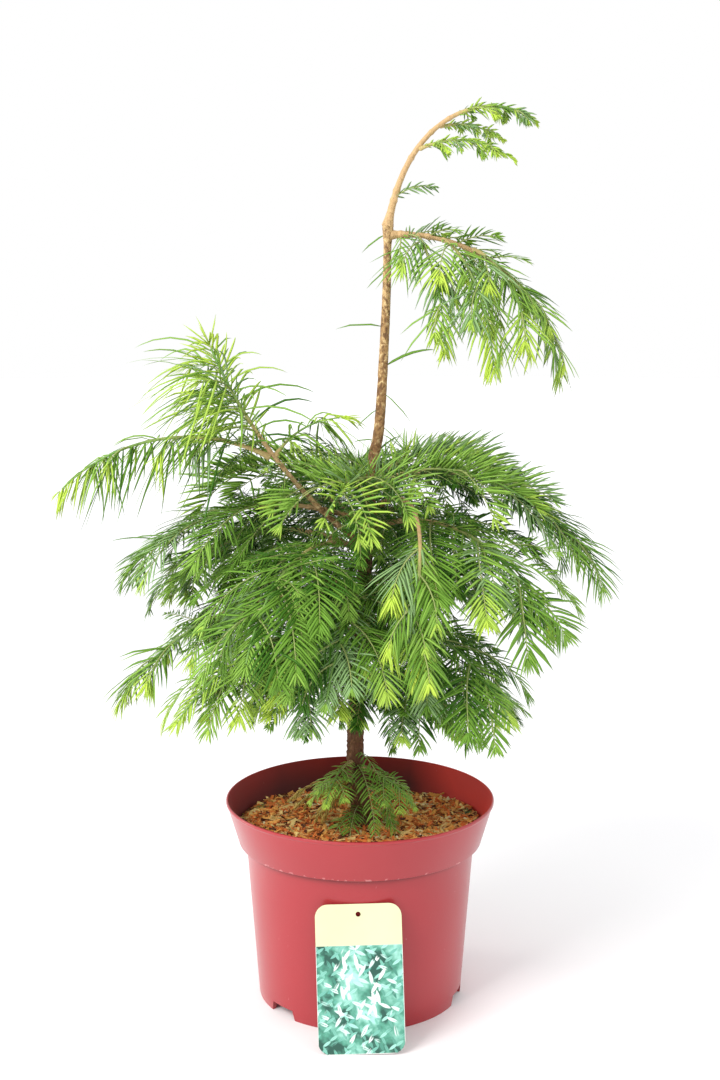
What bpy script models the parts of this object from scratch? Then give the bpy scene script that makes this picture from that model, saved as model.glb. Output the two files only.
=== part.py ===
"""Young dawn redwood in a round nursery pot, with a plain card label leaning on it.

The trunk stands in the growing medium and carries a round head of drooping boughs,
one long bough and arm on the left, and an arching leader with a bough at its fork.
The origin is the centre of the pot's underside, +Z is up and -Y is the front.
"""
import math
import random
from collections import namedtuple

import bmesh
import bpy
from mathutils import Vector
from mathutils.bvhtree import BVHTree

MM = 0.001
GAP = 0.3 * MM

# Pot: a turned shell with a stepped collar, standing on a notched skirt
POT_SIDES = 40
POT_HEIGHT = 170 * MM
RIM_RADIUS = 112.7 * MM
COLLAR_Z = 134 * MM
COLLAR_RADIUS = 102 * MM
BODY_RADIUS = 96 * MM
BASE_RADIUS = 86 * MM
WALL = 1.8 * MM
LIP = 2.6 * MM
LIP_STEP = 0.8 * MM
FLOOR_Z = 9 * MM
CENTRE_FOOT_RADIUS = 30 * MM
NOTCHES = 6
NOTCH_AZIMUTH = 222
NOTCH_WIDTH = 31 * MM
NOTCH_HEIGHT = 8 * MM
NOTCH_DEPTH = 12 * MM

# Growing medium: fills the pot to a low mound, level where the trunk stands
SOIL_Z = 146 * MM
SOIL_EDGE_Z = 142 * MM
SOIL_MOUND = 1.5 * MM
SOIL_BUMP = 2.4 * MM
SOIL_FLAT_RADIUS = 17 * MM
SOIL_RINGS = (0.34, 0.56, 0.78)

# Card label: foot on the ground in front, top edge against the pot
CARD_WIDTH = 68.5 * MM
CARD_LENGTH = 116 * MM
CARD_THICK = 0.8 * MM
CARD_CORNER = 10 * MM
CARD_TOP_Z = 112 * MM
CARD_HOLE_RADIUS = 2.2 * MM
CARD_HOLE_DROP = 8 * MM

# Trunk: its bends as (x, z), and its radius as (z, radius)
TRUNK_BENDS = ((2, 146.3), (-4, 214), (3, 347), (10, 446), (16, 487), (21, 583), (22, 642))
TRUNK_RADII = ((146, 12.5), (153, 8.6), (170, 7.2), (250, 6.4), (380, 5.6), (480, 4.2), (642, 3.0))
TRUNK_SIDES = 8
TRUNK_STEPS = 20

# Limbs, in millimetres and degrees. Each leaves its root at a fraction of the root's length,
# heads off at an azimuth and a rise, and turns and bends down (or up) to its fall at the tip.
# It is bare for a fraction of its length, then carries side sprays of one length and needle.
# Azimuth 0 is +X and 270 is the front. A bend over 1 comes late in the limb.
Limb = namedtuple(
    "Limb",
    "name root at azimuth turn rise fall length radius bare sprays spray_length needle bend")
BOUGH_SIDES = 6
BOUGH_PITCH = 14
LIMB_STEPS = 24
LIMB_TIP = 0.34
STEM_STEPS = 6

# The leader and the limbs that stand clear of the head
CROWN_LIMBS = (
    Limb("leader", "trunk", 1.0, 0, 8, 78, -38, 173, 2.8, 0.6, 3, 34, 16, 1.6),
    Limb("leader_low", "leader", 0.36, -24, 10, 22, -38, 80, 1.1, 0, 3, 32, 15, 1),
    Limb("leader_middle", "leader", 0.5, 32, -10, 14, -30, 60, 1.0, 0, 2, 26, 14, 1),
    Limb("high", "trunk", 0.985, -4, 6, 4, -84, 196, 2.3, 0.38, 5, 56, 28, 1),
    Limb("high_inner", "high", 0.1, 285, 20, -10, -86, 108, 1.1, 0, 3, 44, 30, 0.6),
    Limb("high_middle", "high", 0.2, 300, 10, -8, -84, 126, 1.2, 0, 4, 52, 34, 0.6),
    Limb("high_outer", "high", 0.33, 312, 10, -6, -82, 104, 1.2, 0, 3, 46, 30, 0.6),
    Limb("high_back", "high", 0.27, 62, -10, -4, -80, 92, 1.1, 0, 3, 44, 30, 0.6),
    Limb("left", "trunk", 0.475, 208, -28, 38, 68, 206, 2.6, 0.58, 5, 72, 50, 1),
    Limb("left_inner", "left", 0.5, 346, 20, 58, 2, 62, 1.2, 0, 2, 40, 44, 1),
    Limb("left_arm", "left", 0.48, 186, -4, 28, -46, 180, 1.8, 0.2, 5, 56, 42, 1),
    Limb("left_wing", "trunk", 0.515, 184, 6, 24, -46, 206, 2.2, 0.24, 5, 96, 36, 1),
    Limb("front", "trunk", 0.53, 304, -64, 36, -98, 236, 2.2, 0.5, 4, 58, 34, 0.9),
    Limb("right_long", "trunk", 0.575, -6, 8, 26, -66, 210, 2.4, 0.3, 5, 90, 36, 0.9),
    Limb("left_low", "trunk", 0.38, 190, 4, 16, -58, 224, 2.4, 0.34, 5, 76, 32, 1),
)

# Head: rings of drooping boughs up the trunk, each bough as (azimuth, length), with seeded
# changes of height, turn, rise and fall from one bough to the next
TURN_SPREAD = 14
RISE_SPREAD = 5
FALL_SPREAD = 6
Ring = namedtuple("Ring", "name at spread rise fall radius bare sprays spray_length needle boughs")
RINGS = (
    Ring("top", 0.575, 0.012, 30, -32, 1.5, 0, 4, 94, 34,
         ((48, 150), (100, 145), (150, 150), (262, 140), (330, 146))),
    Ring("upper", 0.485, 0.025, 22, -58, 2.3, 0.24, 5, 108, 36,
         ((72, 200), (122, 200), (160, 204), (236, 208), (322, 200))),
    Ring("middle", 0.375, 0.045, 18, -54, 2.1, 0, 5, 100, 35,
         ((28, 180), (92, 180), (146, 182), (216, 186), (266, 180), (312, 182))),
    Ring("lower", 0.25, 0.03, 20, -36, 1.8, 0, 4, 80, 30,
         ((4, 142), (66, 138), (132, 140), (196, 140), (246, 130), (304, 132))),
    Ring("basal", 0.105, 0.006, 2, -44, 1.2, 0, 3, 32, 15,
         ((244, 62), (316, 64))),
)

# Sprays: twigs on both sides of a limb in turn, and one that carries on its own line.
# Each droops, and is shorter towards the limb's tip.
Spray = namedtuple("Spray", "curve needle first last")
TERMINAL_FROM = 0.55
TERMINAL_NEEDLE = 0.92
SIDE_SPRAYS_TO = 0.69
TWIG_ANGLE = 52
TWIG_ANGLE_SPREAD = 8
TWIG_TURN = 16
TWIG_SHORTENING = 0.55
TWIG_DROOP = (48, 64)
TWIG_ROLL = (-4, 14)
BOUGH_TIP_ROOM = 12 * MM
TRUNK_ROOM = 26 * MM

# Where a spray finds no room it is tried smaller or swung towards the limb's tip
TIP_TRIALS = (1.0, 0.85, 0.7, 0.55)
SIDE_TRIALS = ((1.0, 0), (1.0, 12), (0.84, 0), (0.84, 14), (0.7, 8), (0.58, 0), (0.48, 12))
SPRAY_MARGIN = 0.8 * MM
LIMB_CLEARANCE = 2.0 * MM
SPRAY_FOOT = 0.14
SOIL_CLEARANCE = 4 * MM
RIM_CLEARANCE = 3 * MM
RIM_ROOM = 14 * MM

# Blade: wide teeth that stand for a spray's needles, ridged along a rib
NEEDLE_ANGLE = 60
NEEDLE_SWEEP = 12
NEEDLE_DROOP = 0.22
TOOTH_PITCH = 20 * MM
TOOTH_LEAST = 3
END_TOOTH = 0.7
TIP_REACH = 0.3
RIB_HALF = 2.2 * MM
RIB_THICK = 1.8 * MM
FOOT_SIZE = 0.45

# Colours as linear RGB
POT_RED = (0.36, 0.035, 0.045)
SOIL_BROWN = (0.2, 0.085, 0.03)
CARD_CREAM = (0.8, 0.78, 0.5)
BARK_BROWN = (0.25, 0.11, 0.05)
NEEDLE_GREEN = (0.07, 0.2, 0.045)


def clear_scene():
    for item in list(bpy.data.objects):
        bpy.data.objects.remove(item, do_unlink=True)


def material(name, colour, roughness):
    """A plain Principled material, made once for each name."""
    found = bpy.data.materials.get(name)
    if found:
        return found
    made = bpy.data.materials.new(name)
    made.use_nodes = True
    shader = made.node_tree.nodes["Principled BSDF"]
    shader.inputs["Base Color"].default_value = (*colour, 1)
    shader.inputs["Roughness"].default_value = roughness
    return made


def add_object(name, bm, finish, smooth=True):
    """Turn a bmesh into a named object in the scene, with its faces out."""
    bmesh.ops.recalc_face_normals(bm, faces=bm.faces)
    mesh = bpy.data.meshes.new(name)
    bm.to_mesh(mesh)
    bm.free()
    if smooth:
        mesh.shade_smooth()
        mesh.set_sharp_from_angle(angle=math.radians(40))
    mesh.materials.append(finish)
    made = bpy.data.objects.new(name, mesh)
    bpy.context.scene.collection.objects.link(made)
    return made


def turned(name, profile, finish):
    """Spin an (r, z) profile, both ends on the axis, about Z."""
    bm = bmesh.new()
    points = [bm.verts.new((r, 0, z)) for r, z in profile]
    edges = [bm.edges.new(pair) for pair in zip(points, points[1:])]
    bmesh.ops.spin(bm, geom=points + edges, angle=math.tau, steps=POT_SIDES,
                   axis=(0, 0, 1), cent=(0, 0, 0), use_merge=True)
    bmesh.ops.remove_doubles(bm, verts=bm.verts, dist=0.01 * MM)
    return add_object(name, bm, finish)


def pot_inner_profile(clearance):
    """The inside of the pot from its floor to its rim, drawn in by a clearance."""
    draw_in = WALL + clearance
    rim_slope = (RIM_RADIUS - COLLAR_RADIUS) / (POT_HEIGHT - COLLAR_Z)
    ledge_z = COLLAR_Z + draw_in
    return (
        (BASE_RADIUS - draw_in, FLOOR_Z + draw_in),
        (BODY_RADIUS - draw_in, ledge_z),
        (COLLAR_RADIUS + rim_slope * draw_in - draw_in, ledge_z),
        (RIM_RADIUS - draw_in, POT_HEIGHT),
    )


def make_pot():
    """The shell: centre foot, raised floor, skirt, body, collar and a thick lip."""
    skirt_inner = BASE_RADIUS - 2 * WALL
    outside = (
        (0, 0), (CENTRE_FOOT_RADIUS, 0), (CENTRE_FOOT_RADIUS + 2 * MM, FLOOR_Z),
        (skirt_inner, FLOOR_Z), (skirt_inner, 0), (BASE_RADIUS, 0),
        (BODY_RADIUS, COLLAR_Z), (COLLAR_RADIUS, COLLAR_Z),
        (RIM_RADIUS - LIP_STEP, POT_HEIGHT - LIP), (RIM_RADIUS, POT_HEIGHT - LIP / 2),
        (RIM_RADIUS - LIP_STEP, POT_HEIGHT),
    )
    inside = pot_inner_profile(0)[::-1]
    pot = turned("pot", outside + inside + ((0, FLOOR_Z + WALL),), material("pot_plastic", POT_RED, 0.35))
    cut_notches(pot)
    return pot


def cut_notches(pot):
    """Drain notches round the skirt, cut by boxes that stay as hidden guides."""
    for number in range(NOTCHES):
        azimuth = math.radians(NOTCH_AZIMUTH + number * 360 / NOTCHES)
        bm = bmesh.new()
        bmesh.ops.create_cube(bm, size=1)
        bmesh.ops.scale(bm, vec=(NOTCH_DEPTH, NOTCH_WIDTH, 2 * NOTCH_HEIGHT), verts=bm.verts)
        cutter = add_object(f"notch_cutter_{number + 1}", bm, material("guide", CARD_CREAM, 0.5), False)
        cutter.location = (BASE_RADIUS * math.cos(azimuth), BASE_RADIUS * math.sin(azimuth), 0)
        cutter.rotation_euler = (0, 0, azimuth)
        cutter.hide_render = True
        cutter.display_type = "WIRE"
        cut = pot.modifiers.new("notch", "BOOLEAN")
        cut.operation = "DIFFERENCE"
        cut.solver = "EXACT"
        cut.object = cutter


def make_growing_medium():
    """A plug that fits the pot, with a bumpy top that rises to the level patch."""
    lower = pot_inner_profile(GAP)
    slope = (lower[3][0] - lower[2][0]) / (lower[3][1] - lower[2][1])
    edge_radius = lower[2][0] + slope * (SOIL_EDGE_Z - lower[2][1])
    profile = [(0, lower[0][1]), *lower[:3], (edge_radius, SOIL_EDGE_Z)]
    rise = SOIL_Z + SOIL_MOUND - SOIL_EDGE_Z
    for fraction in reversed(SOIL_RINGS):
        profile.append((edge_radius * fraction, SOIL_EDGE_Z + rise * (1 - fraction ** 3)))
    profile += [(SOIL_FLAT_RADIUS, SOIL_Z), (0, SOIL_Z)]
    medium = turned("growing_medium", profile, material("soil", SOIL_BROWN, 0.95))
    dice = random.Random(5)
    for vertex in medium.data.vertices:
        out = math.hypot(vertex.co.x, vertex.co.y)
        if vertex.co.z > SOIL_EDGE_Z + GAP and out > SOIL_FLAT_RADIUS + 2 * MM:
            vertex.co.z += dice.uniform(-SOIL_BUMP, SOIL_BUMP)
    return medium


def make_card():
    """The card with round corners and a small hole, turned to lean on the pot."""
    bm = bmesh.new()
    outline = []
    for corner, (sx, sz) in enumerate(((1, -1), (1, 1), (-1, 1), (-1, -1))):
        centre_x = sx * (CARD_WIDTH / 2 - CARD_CORNER)
        centre_z = CARD_LENGTH / 2 + sz * (CARD_LENGTH / 2 - CARD_CORNER)
        for step in range(5):
            angle = math.radians(-90 + 90 * corner + 22.5 * step)
            x = centre_x + CARD_CORNER * math.cos(angle)
            z = centre_z + CARD_CORNER * math.sin(angle)
            outline.append((x, 0, z))
    verts = [bm.verts.new(co) for co in outline]
    hole_z = CARD_LENGTH - CARD_HOLE_DROP
    ring = [bm.verts.new((CARD_HOLE_RADIUS * math.cos(math.tau * k / 8), 0,
                          hole_z + CARD_HOLE_RADIUS * math.sin(math.tau * k / 8))) for k in range(8)]
    edges = [bm.edges.new(pair) for loop in (verts, ring) for pair in zip(loop, loop[1:] + loop[:1])]
    front = bmesh.ops.triangle_fill(bm, edges=edges, use_beauty=True)["geom"]
    faces = [face for face in front if isinstance(face, bmesh.types.BMFace)]
    back = bmesh.ops.extrude_face_region(bm, geom=faces)["geom"]
    moved = [vertex for vertex in back if isinstance(vertex, bmesh.types.BMVert)]
    bmesh.ops.translate(bm, verts=moved, vec=(0, CARD_THICK, 0))
    card = add_object("plant_label", bm, material("card", CARD_CREAM, 0.4), False)
    pot_radius = BASE_RADIUS + (BODY_RADIUS - BASE_RADIUS) * CARD_TOP_Z / COLLAR_Z
    lean = math.acos(CARD_TOP_Z / CARD_LENGTH)
    top_y = -(pot_radius + GAP + CARD_THICK / math.cos(lean))
    card.location = (0, top_y - CARD_LENGTH * math.sin(lean), GAP)
    card.rotation_euler = (-lean, 0, 0)
    return card


def heading(azimuth, elevation):
    """A unit vector from an azimuth and an elevation in degrees."""
    a, e = math.radians(azimuth), math.radians(elevation)
    return Vector((math.cos(e) * math.cos(a), math.cos(e) * math.sin(a), math.sin(e)))


class Curve:
    """A line of one length whose azimuth and elevation change steadily along it."""

    def __init__(self, start, azimuth, turn, rise, fall, length, bend=1.0, roll=0.0):
        self.azimuth, self.turn, self.rise, self.fall = azimuth, turn, rise, fall
        self.length, self.bend, self.roll = length, bend, roll
        self.points = [Vector(start)]
        for step in range(LIMB_STEPS):
            ahead = self.direction((step + 0.5) / LIMB_STEPS)
            self.points.append(self.points[-1] + ahead * (length / LIMB_STEPS))

    def direction(self, t):
        elevation = self.rise + (self.fall - self.rise) * t ** self.bend
        return heading(self.azimuth + self.turn * t, elevation)

    def point(self, t):
        place = min(max(t, 0), 1) * LIMB_STEPS
        index = min(int(place), LIMB_STEPS - 1)
        return self.points[index].lerp(self.points[index + 1], place - index)

    def frame(self, t):
        """Point, direction, side and up at a fraction of the length."""
        ahead = self.direction(t)
        turned_by = math.radians(self.azimuth + self.turn * t)
        side = Vector((-math.sin(turned_by), math.cos(turned_by), 0))
        up = ahead.cross(side)
        lean = math.radians(self.roll)
        return (self.point(t), ahead, side * math.cos(lean) + up * math.sin(lean),
                up * math.cos(lean) - side * math.sin(lean))


class Trunk:
    """The trunk's axis: a smooth line through its bends, with its own radii."""

    def __init__(self):
        knots = [Vector((x, 0, z)) * MM for x, z in TRUNK_BENDS]
        knots = [knots[0] * 2 - knots[1], *knots, knots[-1] * 2 - knots[-2]]
        self.points = []
        for step in range(TRUNK_STEPS * 4 + 1):
            self.points.append(self.smooth(knots, step / (TRUNK_STEPS * 4)))

    @staticmethod
    def smooth(knots, t):
        place = t * (len(knots) - 3)
        index = min(int(place), len(knots) - 4)
        u = place - index
        a, b, c, d = knots[index:index + 4]
        return (b * 2 + (c - a) * u + (a * 2 - b * 5 + c * 4 - d) * u ** 2
                + (b * 3 - a - c * 3 + d) * u ** 3) / 2

    def point(self, t):
        """The axis at a fraction of the trunk's height."""
        height = self.points[0].z + t * (self.points[-1].z - self.points[0].z)
        for low, high in zip(self.points, self.points[1:]):
            if high.z >= height:
                return low.lerp(high, (height - low.z) / (high.z - low.z))
        return self.points[-1].copy()

    def direction(self, t):
        return (self.point(min(t + 0.02, 1)) - self.point(max(t - 0.02, 0))).normalized()

    def radius(self, t):
        height = self.point(t).z / MM
        for (low, wide), (high, narrow) in zip(TRUNK_RADII, TRUNK_RADII[1:]):
            if height <= high:
                return (wide + (narrow - wide) * (height - low) / (high - low)) * MM
        return TRUNK_RADII[-1][1] * MM


def limb_radius(limb, t):
    return limb.radius * MM * (1 - (1 - LIMB_TIP) * t)


def facet_reach(ring, centre, towards, half_width):
    """How far a faceted ring of points reaches from its centre under a flat foot."""
    towards = towards.normalized()
    reach = 0
    for here, there in zip(ring, ring[1:] + ring[:1]):
        for step in range(9):
            offset = here.lerp(there, step / 8) - centre
            along = offset.dot(towards)
            if along > 0 and (offset - towards * along).length <= half_width:
                reach = max(reach, along)
    return reach


def seat(parent_point, parent_ahead, parent_ring, ahead, radius, on_end):
    """Where a limb's flat foot starts, clear of its parent by the gap."""
    along = abs(parent_ahead.dot(ahead))
    across = math.sqrt(1 - along ** 2)
    if on_end:
        return parent_point + ahead * (GAP + radius * across)
    outward = ahead - parent_ahead * parent_ahead.dot(ahead)
    reach = facet_reach(parent_ring, parent_point, outward, radius)
    return parent_point + ahead * ((reach + GAP + radius * along) / across)


def all_limbs():
    """The crown's named limbs, and the head's, ring by ring."""
    limbs = list(CROWN_LIMBS)
    for ring in RINGS:
        dice = random.Random(ring.name)
        for number, (azimuth, length) in enumerate(ring.boughs, 1):
            at = ring.at + dice.uniform(-ring.spread, ring.spread)
            limbs.append(Limb(
                f"{ring.name}_{number}", "trunk", at, azimuth, dice.uniform(-TURN_SPREAD, TURN_SPREAD),
                ring.rise + dice.uniform(-RISE_SPREAD, RISE_SPREAD),
                ring.fall + dice.uniform(-FALL_SPREAD, FALL_SPREAD),
                length, ring.radius, ring.bare, ring.sprays, ring.spray_length, ring.needle, 1))
    return limbs


def grow_limbs(trunk):
    """Each limb's curve, seated on its parent."""
    curves = {}
    table = {limb.name: limb for limb in all_limbs()}
    for limb in table.values():
        first = heading(limb.azimuth, limb.rise)
        on_trunk = limb.root == "trunk"
        parent = trunk if on_trunk else curves[limb.root]
        point, ahead = parent.point(limb.at), parent.direction(limb.at)
        radius = trunk.radius(limb.at) if on_trunk else limb_radius(table[limb.root], limb.at)
        ring = round_ring(point, ahead, radius, TRUNK_SIDES if on_trunk else BOUGH_SIDES)
        start = seat(point, ahead, ring, first, limb.radius * MM, limb.at == 1)
        curves[limb.name] = Curve(start, limb.azimuth, limb.turn, limb.rise, limb.fall,
                                  limb.length * MM, limb.bend)
    return list(table.values()), curves


def terminal_spray(limb, curve, size):
    """The spray that carries a limb's own line on to its tip."""
    first = limb.bare + (1 - limb.bare) * TERMINAL_FROM
    return Spray(curve, limb.needle * MM * TERMINAL_NEEDLE * size, first, 1.0)


def side_sprays(limb, curve):
    """The leafy twigs of a limb, on both sides in turn, each with its smaller trials."""
    dice = random.Random(limb.name + " sprays")
    leafy = 1 - limb.bare
    on_trunk = limb.root == "trunk" and limb.bare == 0
    first = limb.bare + (TRUNK_ROOM if on_trunk else BOUGH_TIP_ROOM) / curve.length
    last = limb.bare + leafy * SIDE_SPRAYS_TO
    for number in range(limb.sprays):
        t = first + (last - first) * number / max(limb.sprays - 1, 1)
        hand = 1 if number % 2 else -1
        elevation = limb.rise + (limb.fall - limb.rise) * t ** limb.bend
        length = limb.spray_length * MM * (1.06 - TWIG_SHORTENING * (t - limb.bare) / leafy)
        length *= dice.uniform(0.88, 1.1)
        angle = TWIG_ANGLE + dice.uniform(-TWIG_ANGLE_SPREAD, TWIG_ANGLE_SPREAD)
        rise = elevation * 0.55 + dice.uniform(2, 12)
        fall = rise - dice.uniform(*TWIG_DROOP)
        roll = hand * dice.uniform(*TWIG_ROLL)
        needle = limb.needle * MM * dice.uniform(0.9, 1.06)
        trials = []
        for size, swing in SIDE_TRIALS:
            azimuth = limb.azimuth + limb.turn * t + hand * (angle - swing)
            twig = Curve(curve.point(t), azimuth, -hand * TWIG_TURN, rise, fall, length * size, 1, roll)
            trials.append(Spray(twig, needle * (0.4 + 0.6 * size), 0.0, 1.0))
        yield trials


def tooth_length(needle, s):
    """Needle length at a fraction of a spray: shorter at its foot and its tip."""
    return needle * min(0.45 + 1.7 * s, 1) * (1 - 0.45 * s ** 3)


def teeth(curve, needle, first=0.0, last=1.0):
    """Stations along a spray's rib, and the tips of the teeth between them."""
    count = max(TOOTH_LEAST, round((last - first) * curve.length / TOOTH_PITCH))
    pitch = (last - first) / (count + END_TOOTH)
    stations = []
    tips = []
    for index in range(count + 1):
        stations.append(curve.frame(first + pitch * index))
    for index in range(count):
        s = (index + 0.5) / count
        point, ahead, side, up = curve.frame(first + pitch * (index + 0.55))
        reach = tooth_length(needle, s)
        angle = math.radians(NEEDLE_ANGLE - NEEDLE_SWEEP * s)
        for hand in (1, -1):
            out = side * (hand * math.sin(angle)) + ahead * math.cos(angle) - up * NEEDLE_DROOP
            tips.append(point + out * reach)
    end, ahead, _, _ = curve.frame(last)
    return stations, tips, end + ahead * needle * TIP_REACH


def add_blade(bm, spray, swell=0.0, foot=0.0):
    """A toothed blade, ridged along its rib and flat below, optionally swollen for a test."""
    first = max(spray.first, spray.last * foot)
    stations, tips, tip = teeth(spray.curve, spray.needle + swell, first, spray.last)
    ridge, left, right = [], [], []
    for index, (point, _, side, up) in enumerate(stations):
        size = FOOT_SIZE if index == 0 else 1
        lift = up * (RIB_THICK * 0.5 * size + swell)
        reach = side * (RIB_HALF * size + swell)
        ridge.append(bm.verts.new(point + lift))
        left.append(bm.verts.new(point + reach - lift))
        right.append(bm.verts.new(point - reach - lift))
    points = [bm.verts.new(co) for co in tips]
    end = bm.verts.new(tip)
    bm.faces.new((ridge[0], left[0], right[0]))
    for index in range(len(stations) - 1):
        for edge, point in ((left, points[2 * index]), (right, points[2 * index + 1])):
            bm.faces.new((ridge[index], edge[index], point))
            bm.faces.new((ridge[index], point, ridge[index + 1]))
            bm.faces.new((ridge[index + 1], point, edge[index + 1]))
            bm.faces.new((edge[index], edge[index + 1], point))
        bm.faces.new((left[index], right[index], right[index + 1]))
        bm.faces.new((left[index], right[index + 1], left[index + 1]))
    bm.faces.new((ridge[-1], left[-1], end))
    bm.faces.new((ridge[-1], end, right[-1]))
    bm.faces.new((left[-1], right[-1], end))


def add_tube(bm, rings):
    """Skin rings of points of one count into a closed tube with flat ends."""
    loops = [[bm.verts.new(co) for co in ring] for ring in rings]
    for low, high in zip(loops, loops[1:]):
        for k in range(len(low)):
            following = (k + 1) % len(low)
            bm.faces.new((low[k], low[following], high[following], high[k]))
    bm.faces.new(loops[0][::-1])
    bm.faces.new(loops[-1])


def round_ring(point, ahead, radius, sides):
    """Points round a line at one place, square to its direction."""
    side = Vector((0, 1, 0)).cross(ahead)
    if side.length < 0.1:
        side = Vector((1, 0, 0)).cross(ahead)
    side.normalize()
    up = ahead.cross(side)
    return [point + (side * math.cos(a) + up * math.sin(a)) * radius
            for a in (math.tau * k / sides for k in range(sides))]


def trunk_rings(trunk, swell=0.0):
    rings = []
    for step in range(TRUNK_STEPS + 1):
        t = (step / TRUNK_STEPS) ** 1.5
        ahead = Vector((0, 0, 1)) if step == 0 else trunk.direction(t)
        rings.append(round_ring(trunk.point(t), ahead, trunk.radius(t) + swell, TRUNK_SIDES))
    return rings


def make_trunk(trunk):
    """The whole trunk, flat at the ground and at the fork, with a root flare."""
    bm = bmesh.new()
    add_tube(bm, trunk_rings(trunk))
    return add_object("trunk", bm, material("bark", BARK_BROWN, 0.85))


def limb_rings(limb, curve, first, last, steps, sides, swell=0.0):
    rings = []
    for step in range(steps + 1):
        t = first + (last - first) * step / steps
        rings.append(round_ring(curve.point(t), curve.direction(t), limb_radius(limb, t) + swell, sides))
    return rings


def bough_rings(limb, curve, swell=0.0):
    steps = max(4, round(limb.bare * limb.length / BOUGH_PITCH))
    return limb_rings(limb, curve, 0, limb.bare, steps, BOUGH_SIDES, swell)


def stem_rings(limb, curve, swell=0.0):
    """The leafy part's stem, from just past the bough to where the last spray has taken over."""
    first = limb.bare + (GAP * 1.2 / curve.length if limb.bare else 0)
    leafy = 1 - limb.bare
    last = limb.bare + leafy * (TERMINAL_FROM + 0.1)
    return limb_rings(limb, curve, first, last, STEM_STEPS, 3, swell)


def make_bough(limb, curve):
    """The bare part of a limb, from its parent to where its foliage starts."""
    bm = bmesh.new()
    add_tube(bm, bough_rings(limb, curve))
    return add_object(f"{limb.name}_bough", bm, material("bark", BARK_BROWN, 0.85))


class Space:
    """Who holds which place: a spray is kept only where it is clear of all others."""

    def __init__(self, trunk, limbs, curves):
        self.taken = []
        self.take("trunk", lambda bm: add_tube(bm, trunk_rings(trunk, LIMB_CLEARANCE)))
        for limb in limbs:
            curve = curves[limb.name]
            if limb.bare:
                rings = bough_rings(limb, curve, LIMB_CLEARANCE)
                self.take(limb.name + " bough", lambda bm: add_tube(bm, rings))
            rings = stem_rings(limb, curve, SPRAY_MARGIN)
            self.take(limb.name + " stem", lambda bm: add_tube(bm, rings))

    @staticmethod
    def tree(draw):
        """A drawn shape as a tree to test, and whether it is clear of the pot and the soil."""
        bm = bmesh.new()
        draw(bm)
        found = BVHTree.FromBMesh(bm)
        low = min(vertex.co.z for vertex in bm.verts)
        on_rim = any(vertex.co.z < POT_HEIGHT + RIM_CLEARANCE
                     and vertex.co.xy.length > RIM_RADIUS - RIM_ROOM for vertex in bm.verts)
        bm.free()
        return found, low > SOIL_Z + SOIL_CLEARANCE and not on_rim

    def take(self, owner, draw):
        self.taken.append((owner, self.tree(draw)[0]))

    def offer(self, name, spray):
        """Take the place of a spray if it is free, and say whether it was."""
        whole, clear_of_pot = self.tree(lambda bm: add_blade(bm, spray, SPRAY_MARGIN))
        beyond_foot = self.tree(lambda bm: add_blade(bm, spray, SPRAY_MARGIN, SPRAY_FOOT))[0]
        if not clear_of_pot:
            return False
        for owner, other in self.taken:
            own = owner in (name, name + " bough")
            if owner != name + " stem" and (beyond_foot if own else whole).overlap(other):
                return False
        self.take(name, lambda bm: add_blade(bm, spray))
        return True


def fuse(name, pieces, finish):
    """Join a stem and its blades with one Boolean union, and keep the one body."""
    group = bpy.data.collections.new(name)
    bpy.context.scene.collection.children.link(group)
    stem = pieces[0]
    for piece in pieces[1:]:
        bpy.context.scene.collection.objects.unlink(piece)
        group.objects.link(piece)
    union = stem.modifiers.new("union", "BOOLEAN")
    union.operation = "UNION"
    union.operand_type = "COLLECTION"
    union.solver = "MANIFOLD"
    union.collection = group
    graph = bpy.context.evaluated_depsgraph_get()
    mesh = bpy.data.meshes.new_from_object(stem.evaluated_get(graph))
    for piece in pieces:
        bpy.data.objects.remove(piece, do_unlink=True)
    bpy.data.collections.remove(group)
    bm = bmesh.new()
    bm.from_mesh(mesh)
    keep_largest(bm)
    return add_object(name, bm, finish, False)


def keep_largest(bm):
    """Drop loose scraps, and the inner shells of any sealed hollows."""
    bmesh.ops.triangulate(bm, faces=bm.faces)
    islands = []
    seen = set()
    for face in bm.faces:
        if face in seen:
            continue
        island = []
        waiting = [face]
        seen.add(face)
        while waiting:
            current = waiting.pop()
            island.append(current)
            for edge in current.edges:
                for neighbour in edge.link_faces:
                    if neighbour not in seen:
                        seen.add(neighbour)
                        waiting.append(neighbour)
        islands.append(island)
    islands.sort(key=len)
    for island in islands[:-1]:
        bmesh.ops.delete(bm, geom=island, context="FACES")


def share_out_sprays(limbs, curves, space):
    """Deal the room in the crown: every limb's own tip first, then its side sprays in turn."""
    kept = {}
    for limb in limbs:
        kept[limb.name] = []
        for size in TIP_TRIALS:
            spray = terminal_spray(limb, curves[limb.name], size)
            if space.offer(limb.name, spray):
                kept[limb.name].append(spray)
                break
    waiting = {limb.name: list(side_sprays(limb, curves[limb.name])) for limb in limbs}
    for turn in range(max(limb.sprays for limb in limbs)):
        for limb in limbs:
            if turn < len(waiting[limb.name]):
                chosen = next((spray for spray in waiting[limb.name][-1 - turn]
                               if space.offer(limb.name, spray)), None)
                if chosen:
                    kept[limb.name].append(chosen)
    return kept


def make_foliage(limb, curve, sprays):
    """One mass: the limb's leafy stem with the sprays that it keeps."""
    finish = material("needles", NEEDLE_GREEN, 0.6)
    bm = bmesh.new()
    add_tube(bm, stem_rings(limb, curve))
    pieces = [add_object(f"{limb.name}_stem", bm, finish, False)]
    for number, spray in enumerate(sprays, 1):
        bm = bmesh.new()
        add_blade(bm, spray)
        pieces.append(add_object(f"{limb.name}_blade_{number}", bm, finish, False))
    return fuse(f"{limb.name}_foliage", pieces, finish)


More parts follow.
